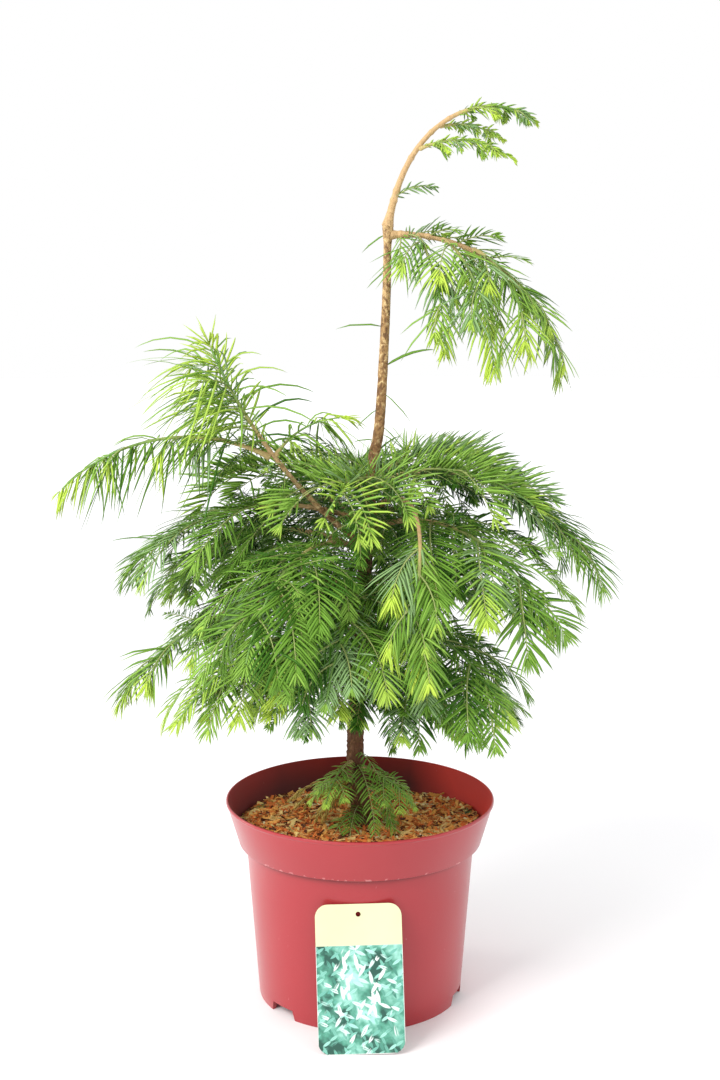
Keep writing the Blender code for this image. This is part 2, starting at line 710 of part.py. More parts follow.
def main():
    clear_scene()
    make_pot()
    make_growing_medium()
    make_card()
    trunk = Trunk()
    make_trunk(trunk)
    limbs, curves = grow_limbs(trunk)
    kept = share_out_sprays(limbs, curves, Space(trunk, limbs, curves))
    for limb in limbs:
        if limb.bare:
            make_bough(limb, curves[limb.name])
        make_foliage(limb, curves[limb.name], kept[limb.name])


main()
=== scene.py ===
"""A young dawn redwood in a round red nursery pot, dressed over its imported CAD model."""

from collections import namedtuple
from math import acos, atan2, ceil, cos, exp, hypot, pi, radians, sin, sqrt, tau
from random import Random

import bmesh
import bpy
import numpy as np
from mathutils import Matrix, Vector, noise


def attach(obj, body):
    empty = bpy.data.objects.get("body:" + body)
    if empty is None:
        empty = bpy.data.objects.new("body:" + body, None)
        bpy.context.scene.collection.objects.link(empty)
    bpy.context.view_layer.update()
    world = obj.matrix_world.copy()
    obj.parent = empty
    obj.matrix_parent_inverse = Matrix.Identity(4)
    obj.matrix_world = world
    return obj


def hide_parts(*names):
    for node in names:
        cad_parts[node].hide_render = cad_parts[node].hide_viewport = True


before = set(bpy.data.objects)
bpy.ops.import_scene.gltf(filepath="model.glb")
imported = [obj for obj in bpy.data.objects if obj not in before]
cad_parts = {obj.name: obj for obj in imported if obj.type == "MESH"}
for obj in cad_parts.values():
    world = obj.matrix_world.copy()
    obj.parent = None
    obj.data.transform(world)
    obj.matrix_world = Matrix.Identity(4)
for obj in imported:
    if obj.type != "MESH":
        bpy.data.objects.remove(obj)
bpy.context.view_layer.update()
MM = 0.001

# Pot
# A round nursery pot, moulded in one shot from semi-gloss pink-red plastic: a tapered body under
# a stepped collar with a rolled lip. It stands on a thin skirt with drain notches in its edge.
POT_STEPS = 144
POT_HEIGHT = 170 * MM
RIM_RADIUS = 112.7 * MM
COLLAR_Z = 134 * MM
COLLAR_RADIUS = 102 * MM
BODY_RADIUS = 96 * MM
BASE_RADIUS = 86 * MM
COLLAR_SLOPE = (RIM_RADIUS - COLLAR_RADIUS) / (POT_HEIGHT - COLLAR_Z)
POT_WALL = 1.8 * MM
SKIRT_INNER = BASE_RADIUS - 2 * POT_WALL
POT_FLOOR_Z = 9 * MM
CENTRE_FOOT = 30 * MM
NOTCH_ANGLES = [222 + 60 * number for number in range(6)]
NOTCH_SIZE = (12 * MM, 33 * MM, 8.6 * MM)
NOTCH_TOP = 0.74


class Link:
    """A node's output that Python sums can use: each operator adds a Math node."""

    def __init__(self, finish, socket):
        self.finish, self.socket = finish, socket

    def sum(self, operation, *terms):
        return self.finish.node("Math", {"operation": operation}, dict(enumerate(terms)))

    def __add__(self, other):
        return self.sum("ADD", self, other)

    def __sub__(self, other):
        return self.sum("SUBTRACT", self, other)

    def __mul__(self, other):
        return self.sum("MULTIPLY", self, other)

    def __rsub__(self, other):
        return self.sum("SUBTRACT", other, self)

    def __pow__(self, other):
        return self.sum("POWER", self, other)

    __radd__, __rmul__ = __add__, __mul__

    def size(self):
        return self.sum("ABSOLUTE", self)

    def over(self, low, high):
        """0 below low, 1 above high, and even in between."""
        return self.finish.node("MapRange", {"clamp": True}, {0: self, 1: low, 2: high})


class Finish:
    """A Principled material, and the one way that nodes are put into it."""

    def __init__(self, name, colour, roughness, **constants):
        self.material = bpy.data.materials.new(name)
        self.material.use_nodes = True
        self.material.diffuse_color = (*colour, 1)
        self.tree = self.material.node_tree
        self.shader = self.tree.nodes["Principled BSDF"]
        for socket, value in {"Base_Color": colour, "Roughness": roughness, **constants}.items():
            self.set(socket.replace("_", " "), value)

    def set(self, socket, value):
        self.fill(self.shader.inputs[socket], value)

    def fill(self, socket, value):
        if isinstance(value, Link):
            self.tree.links.new(value.socket, socket)
        else:
            socket.default_value = (*value, 1) if socket.type == "RGBA" else value

    def node(self, kind, settings, sockets, output=0):
        """A node of a type, with its settings made first and then the values of its sockets."""
        made = self.tree.nodes.new("ShaderNode" + kind)
        for key, value in settings.items():
            if key == "stops":
                while len(made.color_ramp.elements) < len(value):
                    made.color_ramp.elements.new(0.5)
                for element, (place, colour) in zip(made.color_ramp.elements, value):
                    element.position = place
                    element.color = (*colour, 1)
            else:
                setattr(made, key, value)
        for key, value in sockets.items():
            self.fill(made.inputs[key], value)
        return Link(self, made.outputs[output])

    def place(self, stretch=(1, 1, 1)):
        """Object coordinates, stretched."""
        coords = self.node("TexCoord", {}, {}, "Object")
        return self.node("Mapping", {}, {"Vector": coords, "Scale": stretch})

    def split(self, vector):
        """The X, Y and Z of a vector."""
        x = self.node("SeparateXYZ", {}, {0: vector})
        return [Link(self, output) for output in x.socket.node.outputs]

    def grain(self, scale, detail=4, stretch=(1, 1, 1), distortion=0.0):
        return self.node("TexNoise", {}, {
            "Vector": self.place(stretch), "Scale": scale, "Detail": detail, "Distortion": distortion})

    def mix(self, factor, first, second):
        return self.node("Mix", {"data_type": "RGBA"}, {0: factor, 6: first, 7: second}, 2)

    def ramp(self, factor, *stops):
        return self.node("ValToRGB", {"stops": stops}, {"Fac": factor})

    def bump(self, height, strength, distance):
        self.set("Normal", self.node("Bump", {}, {
            "Height": height, "Strength": strength, "Distance": distance}))


def in_scene(name, data):
    """A new object at the origin."""
    made = bpy.data.objects.new(name, data)
    bpy.context.scene.collection.objects.link(made)
    return made


def as_mesh(source):
    """What an object's modifiers, or a curve's bevel, make of it. The object itself goes."""
    graph = bpy.context.evaluated_depsgraph_get()
    mesh = bpy.data.meshes.new_from_object(source.evaluated_get(graph))
    bpy.data.objects.remove(source)
    return mesh


def add_piece(name, mesh, finish, slot, nodes):
    """Put a finished mesh in the scene, on the plant's one body, in place of CAD nodes."""
    piece = in_scene(name, mesh)
    mesh.materials.clear()
    mesh.materials.append(finish.material)
    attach(piece, "root")
    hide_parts(*nodes)


def mesh_of(bm, name, sharp=35):
    """A bmesh as a smooth mesh with its faces out."""
    bmesh.ops.recalc_face_normals(bm, faces=bm.faces)
    mesh = bpy.data.meshes.new(name)
    bm.to_mesh(mesh)
    bm.free()
    mesh.shade_smooth()
    mesh.set_sharp_from_angle(angle=radians(sharp))
    return mesh


def turned(profile, steps):
    """Spin an (r, z) profile about Z into a closed shell."""
    bm = bmesh.new()
    points = [bm.verts.new((r, 0, z)) for r, z in profile]
    edges = [bm.edges.new(pair) for pair in zip(points, points[1:])]
    bmesh.ops.spin(
        bm, geom=points + edges, angle=tau, steps=steps, axis=(0, 0, 1), cent=(0, 0, 0), use_merge=True)
    bmesh.ops.remove_doubles(bm, verts=bm.verts, dist=0.01 * MM)
    return bm


def soften(bm, width, least_angle):
    """Round the edges of a shell that are sharper than an angle."""
    bmesh.ops.recalc_face_normals(bm, faces=bm.faces)
    sharp = [edge for edge in bm.edges
             if len(edge.link_faces) == 2 and edge.calc_face_angle() > radians(least_angle)]
    bmesh.ops.bevel(
        bm, geom=sharp, offset=width, segments=3, profile=0.5, affect="EDGES", material=-1,
        clamp_overlap=True)


def inner_wall(draw_in):
    """The inside of the pot from its floor to its lip, drawn in by a wall and a clearance."""
    return [
        (BASE_RADIUS - draw_in, POT_FLOOR_Z + draw_in), (BODY_RADIUS - draw_in, COLLAR_Z + draw_in),
        (COLLAR_RADIUS + COLLAR_SLOPE * draw_in - draw_in, COLLAR_Z + draw_in),
        (RIM_RADIUS - draw_in, POT_HEIGHT)]


body_rings = [(BASE_RADIUS + (BODY_RADIUS - BASE_RADIUS) * z / COLLAR_Z, z)
              for z in (10 * MM, 11 * MM, 40 * MM, 70 * MM, 100 * MM)]
pot_outside = [
    (0, 0), (CENTRE_FOOT, 0), (CENTRE_FOOT + 2 * MM, POT_FLOOR_Z), (SKIRT_INNER, POT_FLOOR_Z),
    (SKIRT_INNER, 0), (BASE_RADIUS, 0), *body_rings, (BODY_RADIUS, COLLAR_Z), (COLLAR_RADIUS, COLLAR_Z),
    (RIM_RADIUS - 1.1 * MM, POT_HEIGHT - 3.2 * MM), (RIM_RADIUS, POT_HEIGHT - 2.2 * MM),
    (RIM_RADIUS, POT_HEIGHT - 0.8 * MM), (RIM_RADIUS - 0.6 * MM, POT_HEIGHT)]
bm = turned(pot_outside + inner_wall(POT_WALL)[::-1] + [(0, POT_FLOOR_Z + POT_WALL)], POT_STEPS)
soften(bm, 0.5 * MM, 28)
shell = in_scene("shell", mesh_of(bm, "pot_shell"))
cutters = []
for angle in NOTCH_ANGLES:
    bm = bmesh.new()
    bmesh.ops.create_cube(bm, size=1)
    for vertex in bm.verts:
        if vertex.co.z > 0:
            vertex.co.y *= NOTCH_TOP
    bmesh.ops.scale(bm, vec=(NOTCH_SIZE[0], NOTCH_SIZE[1], 2 * NOTCH_SIZE[2]), verts=bm.verts)
    bmesh.ops.translate(bm, vec=(BASE_RADIUS, 0, 0), verts=bm.verts)
    bmesh.ops.rotate(bm, matrix=Matrix.Rotation(radians(angle), 3, "Z"), verts=bm.verts)
    cutters.append(in_scene(f"notch_{angle}", mesh_of(bm, "notch")))
    cut = shell.modifiers.new("notch", "BOOLEAN")
    cut.solver = "EXACT"
    cut.object = cutters[-1]
pot_mesh = as_mesh(shell)
pot_mesh.set_sharp_from_angle(angle=radians(35))
for cutter in cutters:
    bpy.data.objects.remove(cutter)

plastic = Finish("pot_plastic", (0.39, 0.03, 0.038), 0.34, Coat_Roughness=0.16, Specular_IOR_Level=0.35)
cloud = plastic.grain(11, 3)
scuff = plastic.grain(420, 3, (1, 1, 0.5)).over(0.72, 0.78) * plastic.grain(26, 2).over(0.52, 0.62)
pot_red = plastic.mix(cloud, (0.33, 0.023, 0.03), (0.41, 0.031, 0.039))
x, y, z = plastic.split(plastic.place())
out = (x * x + y * y) ** 0.5
above = z - COLLAR_Z
inside = (COLLAR_RADIUS + COLLAR_SLOPE * above - out).over(0.7 * MM, 1.5 * MM) * above.over(0, 2 * MM)
# Painted light and shade inside the pot: the wall is lightest on the right, where the light falls, a little
# lighter at the far left and towards the lip, and darkest in between, where the head's shadow falls. The
# cloud in it is the plastic's own tone.
lit = x.over(0.045, 0.085) * 0.95 + (0 - x).over(0.07, 0.12) * 0.35 + z.over(0.15, 0.172) * 0.25
inner_red_with_painted_light = plastic.mix(lit + (cloud - 0.5) * 0.3, (0.085, 0.004, 0.003), (0.64, 0.024, 0.01))
pot_red = plastic.mix(inside, pot_red, inner_red_with_painted_light)
# Painted shade: a dark band in the crease on the body just under the collar.
crease_painted_shade = (above + 6.5 * MM).over(0, 5 * MM) ** 2 * (COLLAR_RADIUS - 0.3 * MM - out).over(0, 2 * MM)
crease_painted_shade = crease_painted_shade * (0.4 * MM - above).over(0, 0.3 * MM)
pot_red = plastic.mix(crease_painted_shade * 0.85, pot_red, (0.07, 0.004, 0.007))
rubbed = (1.6 * MM - (above - 0.6 * MM).size()).over(0, 1 * MM) * plastic.grain(190, 3).over(0.56, 0.62)
pot_red = plastic.mix(rubbed * (1 - inside) * 0.45, pot_red, (0.75, 0.34, 0.34))
plastic.set("Base Color", plastic.mix(scuff * 0.5, pot_red, (0.72, 0.3, 0.32)))
plastic.set("Roughness", 0.27 + cloud * 0.1 + scuff * 0.2 + inside * 0.3)
plastic.set("Coat Weight", 0.35 - 0.35 * inside)
plastic.bump(plastic.grain(900, 2) + cloud * 2.0, 0.1, 0.0006)
add_piece("pot_shell", pot_mesh, plastic, "pot", ["pot"])

# Growing medium
# Coir and bark compost, heaped loosely: a rough mound that fills the pot, covered in bark chips,
# and in strands of fibre that lie as they fell, with tufts of moss along the rim.
SOIL_EDGE_Z = 142 * MM
SOIL_TOP_Z = 147.5 * MM
SOIL_FLAT_RADIUS = 17 * MM
SOIL_ROUGHNESS = 2.6 * MM
SOIL_HEAP = 7 * MM
SOIL_STEPS = 150
SOIL_CLEARANCE = 0.3 * MM
ON_SOIL = ("growing_medium", ["growing_medium"])
soil_profile = inner_wall(POT_WALL + SOIL_CLEARANCE)
wall_slope = (soil_profile[3][0] - soil_profile[2][0]) / (soil_profile[3][1] - soil_profile[2][1])
SOIL_RADIUS = soil_profile[2][0] + wall_slope * (SOIL_EDGE_Z - soil_profile[2][1])


def soil_height(x, y):
    """The height of the compost's top at a place."""
    out = min(hypot(x, y) / SOIL_RADIUS, 1)
    mound = SOIL_EDGE_Z + (SOIL_TOP_Z - SOIL_EDGE_Z) * (1 - out ** 3)
    rough = noise.fractal(Vector((x, y, 0)) * 60, 0.8, 2.1, 4)
    lumps = noise.noise(Vector((x, y, 0.3)) * 26)
    settled = min(max(hypot(x, y) / SOIL_FLAT_RADIUS - 0.7, 0), 1)
    mound += SOIL_HEAP * out ** 5 * (x / SOIL_RADIUS) ** 2
    return mound - 1.5 * MM * (1 - settled) + SOIL_ROUGHNESS * (0.9 * lumps + 0.6 * rough) * (
        0.3 + 0.7 * settled)


bm = turned(
    [(0, soil_profile[0][1]), *soil_profile[:3],
    (SOIL_RADIUS, SOIL_EDGE_Z)] + [(SOIL_RADIUS * (1 - step / 60),
    SOIL_EDGE_Z + 1 * MM) for step in range(1, 60)] + [(0, SOIL_EDGE_Z + 1 * MM)], SOIL_STEPS)
for vertex in bm.verts:
    if vertex.co.z > SOIL_EDGE_Z + 0.5 * MM:
        vertex.co.z = soil_height(vertex.co.x, vertex.co.y)
compost = Finish("compost", (0.16, 0.07, 0.03), 0.95)
crumble = compost.grain(260, 6, distortion=0.4)
compost.set(
    "Base Color", compost.ramp(crumble, (0.34, (0.03, 0.01, 0.004)), (0.52, (0.2, 0.066, 0.018)),
    (0.66, (0.72, 0.26, 0.075))))
compost.bump(crumble, 0.8, 0.0012)
add_piece("compost_mound", mesh_of(bm, "compost", 80), compost, *ON_SOIL)


def strands(name, paths, finish, slot, nodes, sides=4):
    """Thin round strands, each through its points with a radius at every one."""
    curve = bpy.data.curves.new(name, "CURVE")
    curve.dimensions = "3D"
    curve.bevel_depth = 1.0
    curve.bevel_resolution = (sides - 4) // 2
    curve.use_fill_caps = True
    for path in paths:
        spline = curve.splines.new("POLY")
        spline.points.add(len(path) - 1)
        for point, (place, radius) in zip(spline.points, path):
            point.co = (*place, 1)
            point.radius = radius
    mesh = as_mesh(in_scene(name, curve))
    mesh.shade_smooth()
    add_piece(name, mesh, finish, slot, nodes)


scratch = bpy.data.meshes.new("scratch")


def gather(whole, part):
    """Move a small bmesh into a large one."""
    part.to_mesh(scratch)
    part.free()
    whole.from_mesh(scratch)


def on_soil(dice, inset=3 * MM, least=14 * MM):
    """A seeded place on the compost, clear of the trunk and of the pot's wall."""
    out = sqrt(dice.uniform((least / SOIL_RADIUS) ** 2, 1)) * (SOIL_RADIUS - inset)
    around = dice.uniform(0, tau)
    x, y = out * cos(around), out * sin(around)
    return Vector((x, y, soil_height(x, y)))


BARK_CHIPS = (
    ("chips_umber", (0.11, 0.032, 0.011), 520, 9, 2.6),
    ("chips_russet", (0.7, 0.19, 0.042), 980, 11, 1.9),
    ("chips_orange", (0.96, 0.37, 0.09), 900, 12, 1.9),
    ("chips_tan", (0.98, 0.56, 0.21), 420, 15, 2.1),
    ("chips_straw", (0.98, 0.72, 0.41), 120, 15, 1.4),
)
for name, colour, count, length, width in BARK_CHIPS:
    dice = Random(name)
    bm = bmesh.new()
    for number in range(count):
        long = length * dice.uniform(0.3, 1.0) * dice.uniform(0.6, 1.5) * MM
        wide = width * dice.uniform(0.35, 1.5) * MM
        thick = dice.uniform(0.5, 1.3) * MM
        place = on_soil(dice, 1.5 * MM + long * 0.3)
        turn = (Matrix.Rotation(dice.uniform(0, tau), 4, "Z")
                @ Matrix.Rotation(dice.gauss(0, 0.3), 4, "Y") @ Matrix.Rotation(dice.gauss(0, 0.6), 4, "X"))
        lift = Matrix.Translation(place + Vector((0, 0, dice.uniform(-0.4, 1.6) * MM)))
        chip = bmesh.new()
        bmesh.ops.create_cube(chip, size=1, matrix=lift @ turn @ Matrix.Diagonal((long, wide, thick, 1)))
        for vertex in chip.verts:
            vertex.co += Vector([dice.uniform(-0.22, 0.22) * wide for _ in range(3)])
        gather(bm, chip)
    tint = Finish(name, colour, 0.85, Specular_IOR_Level=0.25)
    streak = tint.grain(700, 3)
    dark, light = [0.55 * part for part in colour], [min(1.3 * part, 0.9) for part in colour]
    tint.set("Base Color", tint.mix(streak, dark, light))
    tint.bump(streak, 0.5, 0.0004)
    add_piece(name, mesh_of(bm, name, 20), tint, *ON_SOIL)

FIBRES = (("fibres_brown", (0.7, 0.205, 0.05), 1700, 0.3), ("fibres_tan", (0.95, 0.56, 0.22), 1100, 0.28))
for name, colour, count, radius in FIBRES:
    dice = Random(name)
    paths = []
    for number in range(count):
        place = on_soil(dice, 4 * MM)
        heading_to = dice.uniform(0, tau)
        step = dice.uniform(1.6, 3.4) * MM
        path = []
        for k in range(6):
            heading_to += dice.gauss(0, 0.35)
            place = place + Vector((cos(heading_to), sin(heading_to), 0)) * step
            if place.xy.length > SOIL_RADIUS - 1.5 * MM:
                break
            place.z = soil_height(place.x, place.y) + dice.uniform(0.3, 1.8) * MM
            path.append((place.copy(), radius * MM * (0.45 if k in (0, 5) else dice.uniform(0.7, 1.3))))
        if len(path) > 2:
            paths.append(path)
    tint = Finish(name, colour, 0.9, Specular_IOR_Level=0.25)
    tint.set("Base Color", tint.mix(tint.grain(240, 2), [0.6 * part for part in colour], colour))
    strands(name, paths, tint, *ON_SOIL)

MOSS_PATCHES = (
    (234, 0.93, 16), (246, 0.9, 20), (222, 0.95, 12), (298, 0.9, 16), (308, 0.93, 26), (316, 0.94, 22),
    (12, 0.92, 14), (70, 0.9, 18), (104, 0.94, 16), (160, 0.93, 22), (338, 0.6, 16))
dice = Random("moss")
paths = []
for around, out, count in MOSS_PATCHES:
    for number in range(count):
        x = SOIL_RADIUS * out * cos(radians(around)) + dice.gauss(0, 4.5) * MM
        y = SOIL_RADIUS * out * sin(radians(around)) + dice.gauss(0, 4.5) * MM
        if hypot(x, y) > SOIL_RADIUS - 4 * MM:
            continue
        foot = Vector((x, y, soil_height(x, y)))
        ahead = Vector((dice.gauss(0, 0.8), dice.gauss(0, 0.8), 1)).normalized()
        tall = dice.uniform(2.5, 6.5) * MM
        paths.append([(foot + ahead * tall * k / 3 - Vector((0, 0, 0.12 * tall * (k / 3) ** 2)),
                       (0.5, 0.42, 0.3, 0.1)[k] * MM) for k in range(4)])
moss = Finish("moss", (0.1, 0.22, 0.07), 0.8)
moss.set("Base Color", moss.mix(moss.grain(160, 2).over(0.4, 0.6), (0.045, 0.17, 0.075), (0.22, 0.33, 0.06)))
strands("moss_tufts", paths, moss, *ON_SOIL)

# Label
# A thin printed plastic card with round corners, a hole for hanging and a little bow. It is not
# pushed in: its foot stands on the ground and its top leans back against the pot.
CARD_WIDTH = 68.5 * MM
CARD_LENGTH = 116 * MM
CARD_THICK = 0.8 * MM
CARD_CORNER = 10 * MM
CARD_TOP_Z = 112 * MM
CARD_HOLE = 2.0 * MM
CARD_HOLE_Z = 108 * MM
CARD_BAND_Z = 84 * MM
CARD_BOW = 0.5 * MM
CARD_TURN = -1.7
bm = bmesh.new()


def arc(x, z, radius, first, turn, count):
    """Points of the card's outline round a middle, at even angles in degrees."""
    angles = [radians(first + turn * number) for number in range(count)]
    middle = Vector((x, 0, z))
    return [bm.verts.new(middle + Vector((cos(angle), 0, sin(angle))) * radius) for angle in angles]


outline = []
for corner, (right, up) in enumerate(((1, -1), (1, 1), (-1, 1), (-1, -1))):
    outline += arc(
        right * (CARD_WIDTH / 2 - CARD_CORNER), CARD_LENGTH / 2 + up * (CARD_LENGTH / 2 - CARD_CORNER),
        CARD_CORNER, 90 * corner - 90, 11.25, 9)
hole = arc(0, CARD_HOLE_Z, CARD_HOLE, 0, 18, 20)
edges = [bm.edges.new(pair) for loop in (outline, hole) for pair in zip(loop, loop[1:] + loop[:1])]
bmesh.ops.triangle_fill(bm, edges=edges, use_beauty=True)
cuts = [((0, 0, CARD_LENGTH * step / 16), (0, 0, 1)) for step in range(1, 16)]
cuts += [((CARD_WIDTH * (step / 8 - 0.5), 0, 0), (1, 0, 0)) for step in range(1, 8)]
for place, across in cuts:
    bmesh.ops.bisect_plane(bm, geom=bm.verts[:] + bm.edges[:] + bm.faces[:], plane_co=place, plane_no=across)
for face in bm.faces:
    if face.normal.y > 0:
        face.normal_flip()
back = bmesh.ops.extrude_face_region(bm, geom=bm.faces[:])["geom"]
bmesh.ops.translate(bm, verts=[v for v in back if isinstance(v, bmesh.types.BMVert)], vec=(0, CARD_THICK, 0))
print_map = bm.loops.layers.uv.new("print")
for face in bm.faces:
    for loop in face.loops:
        loop[print_map].uv = (loop.vert.co.x / CARD_WIDTH + 0.5, loop.vert.co.z / CARD_WIDTH)
for vertex in bm.verts:
    height = vertex.co.z / CARD_LENGTH
    vertex.co.y -= CARD_BOW * sin(pi * height) + 0.35 * MM * sin(vertex.co.x / CARD_WIDTH * 5 + 1) * height
bmesh.ops.rotate(
    bm, cent=(0, 0, CARD_LENGTH / 2), matrix=Matrix.Rotation(radians(CARD_TURN), 3, "Y"), verts=bm.verts)
bmesh.ops.translate(bm, vec=(0, 0, 0.75 * MM), verts=bm.verts)
card_lean = acos(CARD_TOP_Z / CARD_LENGTH)
pot_radius = BASE_RADIUS + (BODY_RADIUS - BASE_RADIUS) * CARD_TOP_Z / COLLAR_Z
card_top_y = -(pot_radius + SOIL_CLEARANCE + CARD_THICK / cos(card_lean))
bmesh.ops.rotate(bm, matrix=Matrix.Rotation(-card_lean, 3, "X"), verts=bm.verts)
bmesh.ops.translate(bm, vec=(0, card_top_y - CARD_LENGTH * sin(card_lean), SOIL_CLEARANCE), verts=bm.verts)

card = Finish("card_print", (0.84, 0.85, 0.5), 0.32, Coat_Weight=0.25, Coat_Roughness=0.12)
uv = card.node("TexCoord", {}, {}, "UV")
x, z, _ = card.split(uv)


def strewn_leaves(turn, scale, seed, slender):
    """Pointed leaves strewn one way, as a mask and a shade for each, with a darker midrib."""
    placed = card.node("Mapping", {}, {
        "Vector": uv, "Location": (seed, seed * 0.7, 0), "Rotation": (0, 0, radians(turn))})
    cells = {"Vector": placed, "Scale": scale, "Randomness": 0.9}
    middle, colour = (
        card.node("TexVoronoi", {"voronoi_dimensions": "2D"}, cells, output)
        for output in ("Position", "Color"))
    apart = card.node("VectorMath", {"operation": "SUBTRACT"}, {0: placed, 1: middle})
    along, across, _ = card.split(apart)
    along, across = along * scale, (across * scale).size()
    leaf = (slender - slender * 3.0 * along * along - across).over(0.0, 0.05)
    return leaf, card.split(colour)[0] * (0.55 + 0.45 * across.over(0.0, 0.035))


from_middle = (x - 0.52) * (x - 0.52) * 1.3 + (z - 0.68) * (z - 0.68) * 0.8
depth = card.node("TexNoise", {}, {"Vector": uv, "Scale": 3.6, "Detail": 4}) - from_middle * 0.2
picture = card.ramp(
    depth + 0.02, (0.38, (0.012, 0.085, 0.06)), (0.47, (0.08, 0.33, 0.23)), (0.62, (0.38, 0.76, 0.65)))
LEAF_LAYERS = (
    (64, 9, 3.1, 0.17, (0.04, 0.22, 0.16), (0.22, 0.58, 0.46)),
    (-34, 8.5, 7.7, 0.17, (0.09, 0.38, 0.3), (0.4, 0.78, 0.66)),
    (24, 7, 5.2, 0.16, (0.34, 0.7, 0.61), (0.78, 0.95, 0.9)),
    (-58, 6.2, 1.4, 0.15, (0.58, 0.85, 0.79), (0.92, 0.98, 0.96)),
    (78, 5.6, 9.3, 0.14, (0.7, 0.91, 0.86), (0.95, 0.99, 0.98)),
)
for number, (turn, scale, seed, slender, dark, light) in enumerate(LEAF_LAYERS):
    leaf, shade = strewn_leaves(turn, scale, seed, slender)
    lit = card.node("TexNoise", {}, {"Vector": uv, "Scale": 2.0 + 0.3 * number, "Detail": 1})
    thin = (from_middle * 0.9 - 0.02) * (number > 1)
    shown = leaf * (lit + shade * 0.25 - thin).over(0.44, 0.5)
    picture = card.mix(shown, picture, card.mix(shade, dark, light))
inside = (x - 0.003).over(0, 0.004) * (0.997 - x).over(0, 0.004) * (z - 0.004).over(0, 0.004)
below_band = (CARD_BAND_Z / CARD_WIDTH - z).over(0, 0.006)
paper = card.mix(card.grain(30, 2), (0.66, 0.71, 0.4), (0.74, 0.77, 0.5))
edge_white = card.mix(below_band, paper, (0.86, 0.88, 0.84))
card.set("Base Color", card.mix(inside * below_band, edge_white, picture))
card.set("Roughness", 0.28 + card.grain(60, 2) * 0.12)
add_piece("label_card", mesh_of(bm, "label", 30), card, "label", ["plant_label"])

# Trunk and boughs
# Living wood: rough, flaking red-brown bark on the lower trunk, smoother tan bark with pale
# pores higher up, and shoots that turn green towards their tips. Boughs leave in rings.
TRUNK_BENDS = ((2, 146.3), (-4, 214), (3, 347), (10, 446), (16, 487), (21, 583), (22, 642))
TRUNK_RADII = ((146, 12.5), (153, 8.6), (170, 7.2), (250, 6.4), (380, 5.6), (480, 4.2), (642, 3.0))
TRUNK_ROOT_Z = 140 * MM
LIMB_STEPS = 24
LIMB_TIP = 0.34
Limb = namedtuple(
    "Limb", "name root at azimuth turn rise fall length radius bare sprays spray_length needle bend")
CROWN_LIMBS = (
    ("leader", "trunk", 1.0, 0, 8, 78, -38, 173, 2.8, 0.6, 3, 34, 16, 1.6),
    ("leader_low", "leader", 0.36, -24, 10, 22, -38, 80, 1.1, 0, 3, 32, 15, 1),
    ("leader_middle", "leader", 0.5, 32, -10, 14, -30, 60, 1.0, 0, 2, 26, 14, 1),
    ("high", "trunk", 0.985, -4, 6, 4, -84, 196, 2.3, 0.38, 5, 56, 28, 1),
    ("high_inner", "high", 0.1, 285, 20, -10, -86, 108, 1.1, 0, 3, 44, 30, 0.6),
    ("high_middle", "high", 0.2, 300, 10, -8, -84, 126, 1.2, 0, 4, 52, 34, 0.6),
    ("high_outer", "high", 0.33, 312, 10, -6, -82, 104, 1.2, 0, 3, 46, 30, 0.6),
    ("high_back", "high", 0.27, 62, -10, -4, -80, 92, 1.1, 0, 3, 44, 30, 0.6),
    ("left", "trunk", 0.475, 208, -28, 38, 68, 206, 2.6, 0.58, 5, 72, 50, 1),
    ("left_inner", "left", 0.5, 346, 20, 58, 2, 62, 1.2, 0, 2, 40, 44, 1),
    ("left_arm", "left", 0.48, 186, -4, 28, -46, 180, 1.8, 0.2, 5, 56, 42, 1),
    ("left_wing", "trunk", 0.515, 184, 6, 24, -46, 206, 2.2, 0.24, 5, 96, 36, 1),
    ("front", "trunk", 0.53, 304, -64, 36, -98, 236, 2.2, 0.5, 4, 58, 34, 0.9),
    ("right_long", "trunk", 0.575, -6, 8, 26, -66, 210, 2.4, 0.3, 5, 90, 36, 0.9),
    ("left_low", "trunk", 0.38, 190, 4, 16, -58, 224, 2.4, 0.34, 5, 76, 32, 1),
)
TURN_SPREAD = 14
RISE_SPREAD = 5
FALL_SPREAD = 6
Ring = namedtuple("Ring", "name at spread rise fall radius bare sprays spray_length needle boughs")
RINGS = (
    ("top", 0.575, 0.012, 30, -32, 1.5, 0, 4, 94, 34,
         ((48, 150), (100, 145), (150, 150), (262, 140), (330, 146))),
    ("upper", 0.485, 0.025, 22, -58, 2.3, 0.24, 5, 108, 36,
         ((72, 200), (122, 200), (160, 204), (236, 208), (322, 200))),
    ("middle", 0.375, 0.045, 18, -54, 2.1, 0, 5, 100, 35,
         ((28, 180), (92, 180), (146, 182), (216, 186), (266, 180), (312, 182))),
    ("lower", 0.25, 0.03, 20, -36, 1.8, 0, 4, 80, 30,
         ((4, 142), (66, 138), (132, 140), (196, 140), (246, 130), (304, 132))),
    ("basal", 0.105, 0.006, 2, -44, 1.2, 0, 3, 32, 15,
         ((244, 62), (316, 64))),
)


def heading(azimuth, elevation):
    """A unit vector from an azimuth and an elevation in degrees."""
    a, e = radians(azimuth), radians(elevation)
    return Vector((cos(e) * cos(a), cos(e) * sin(a), sin(e)))


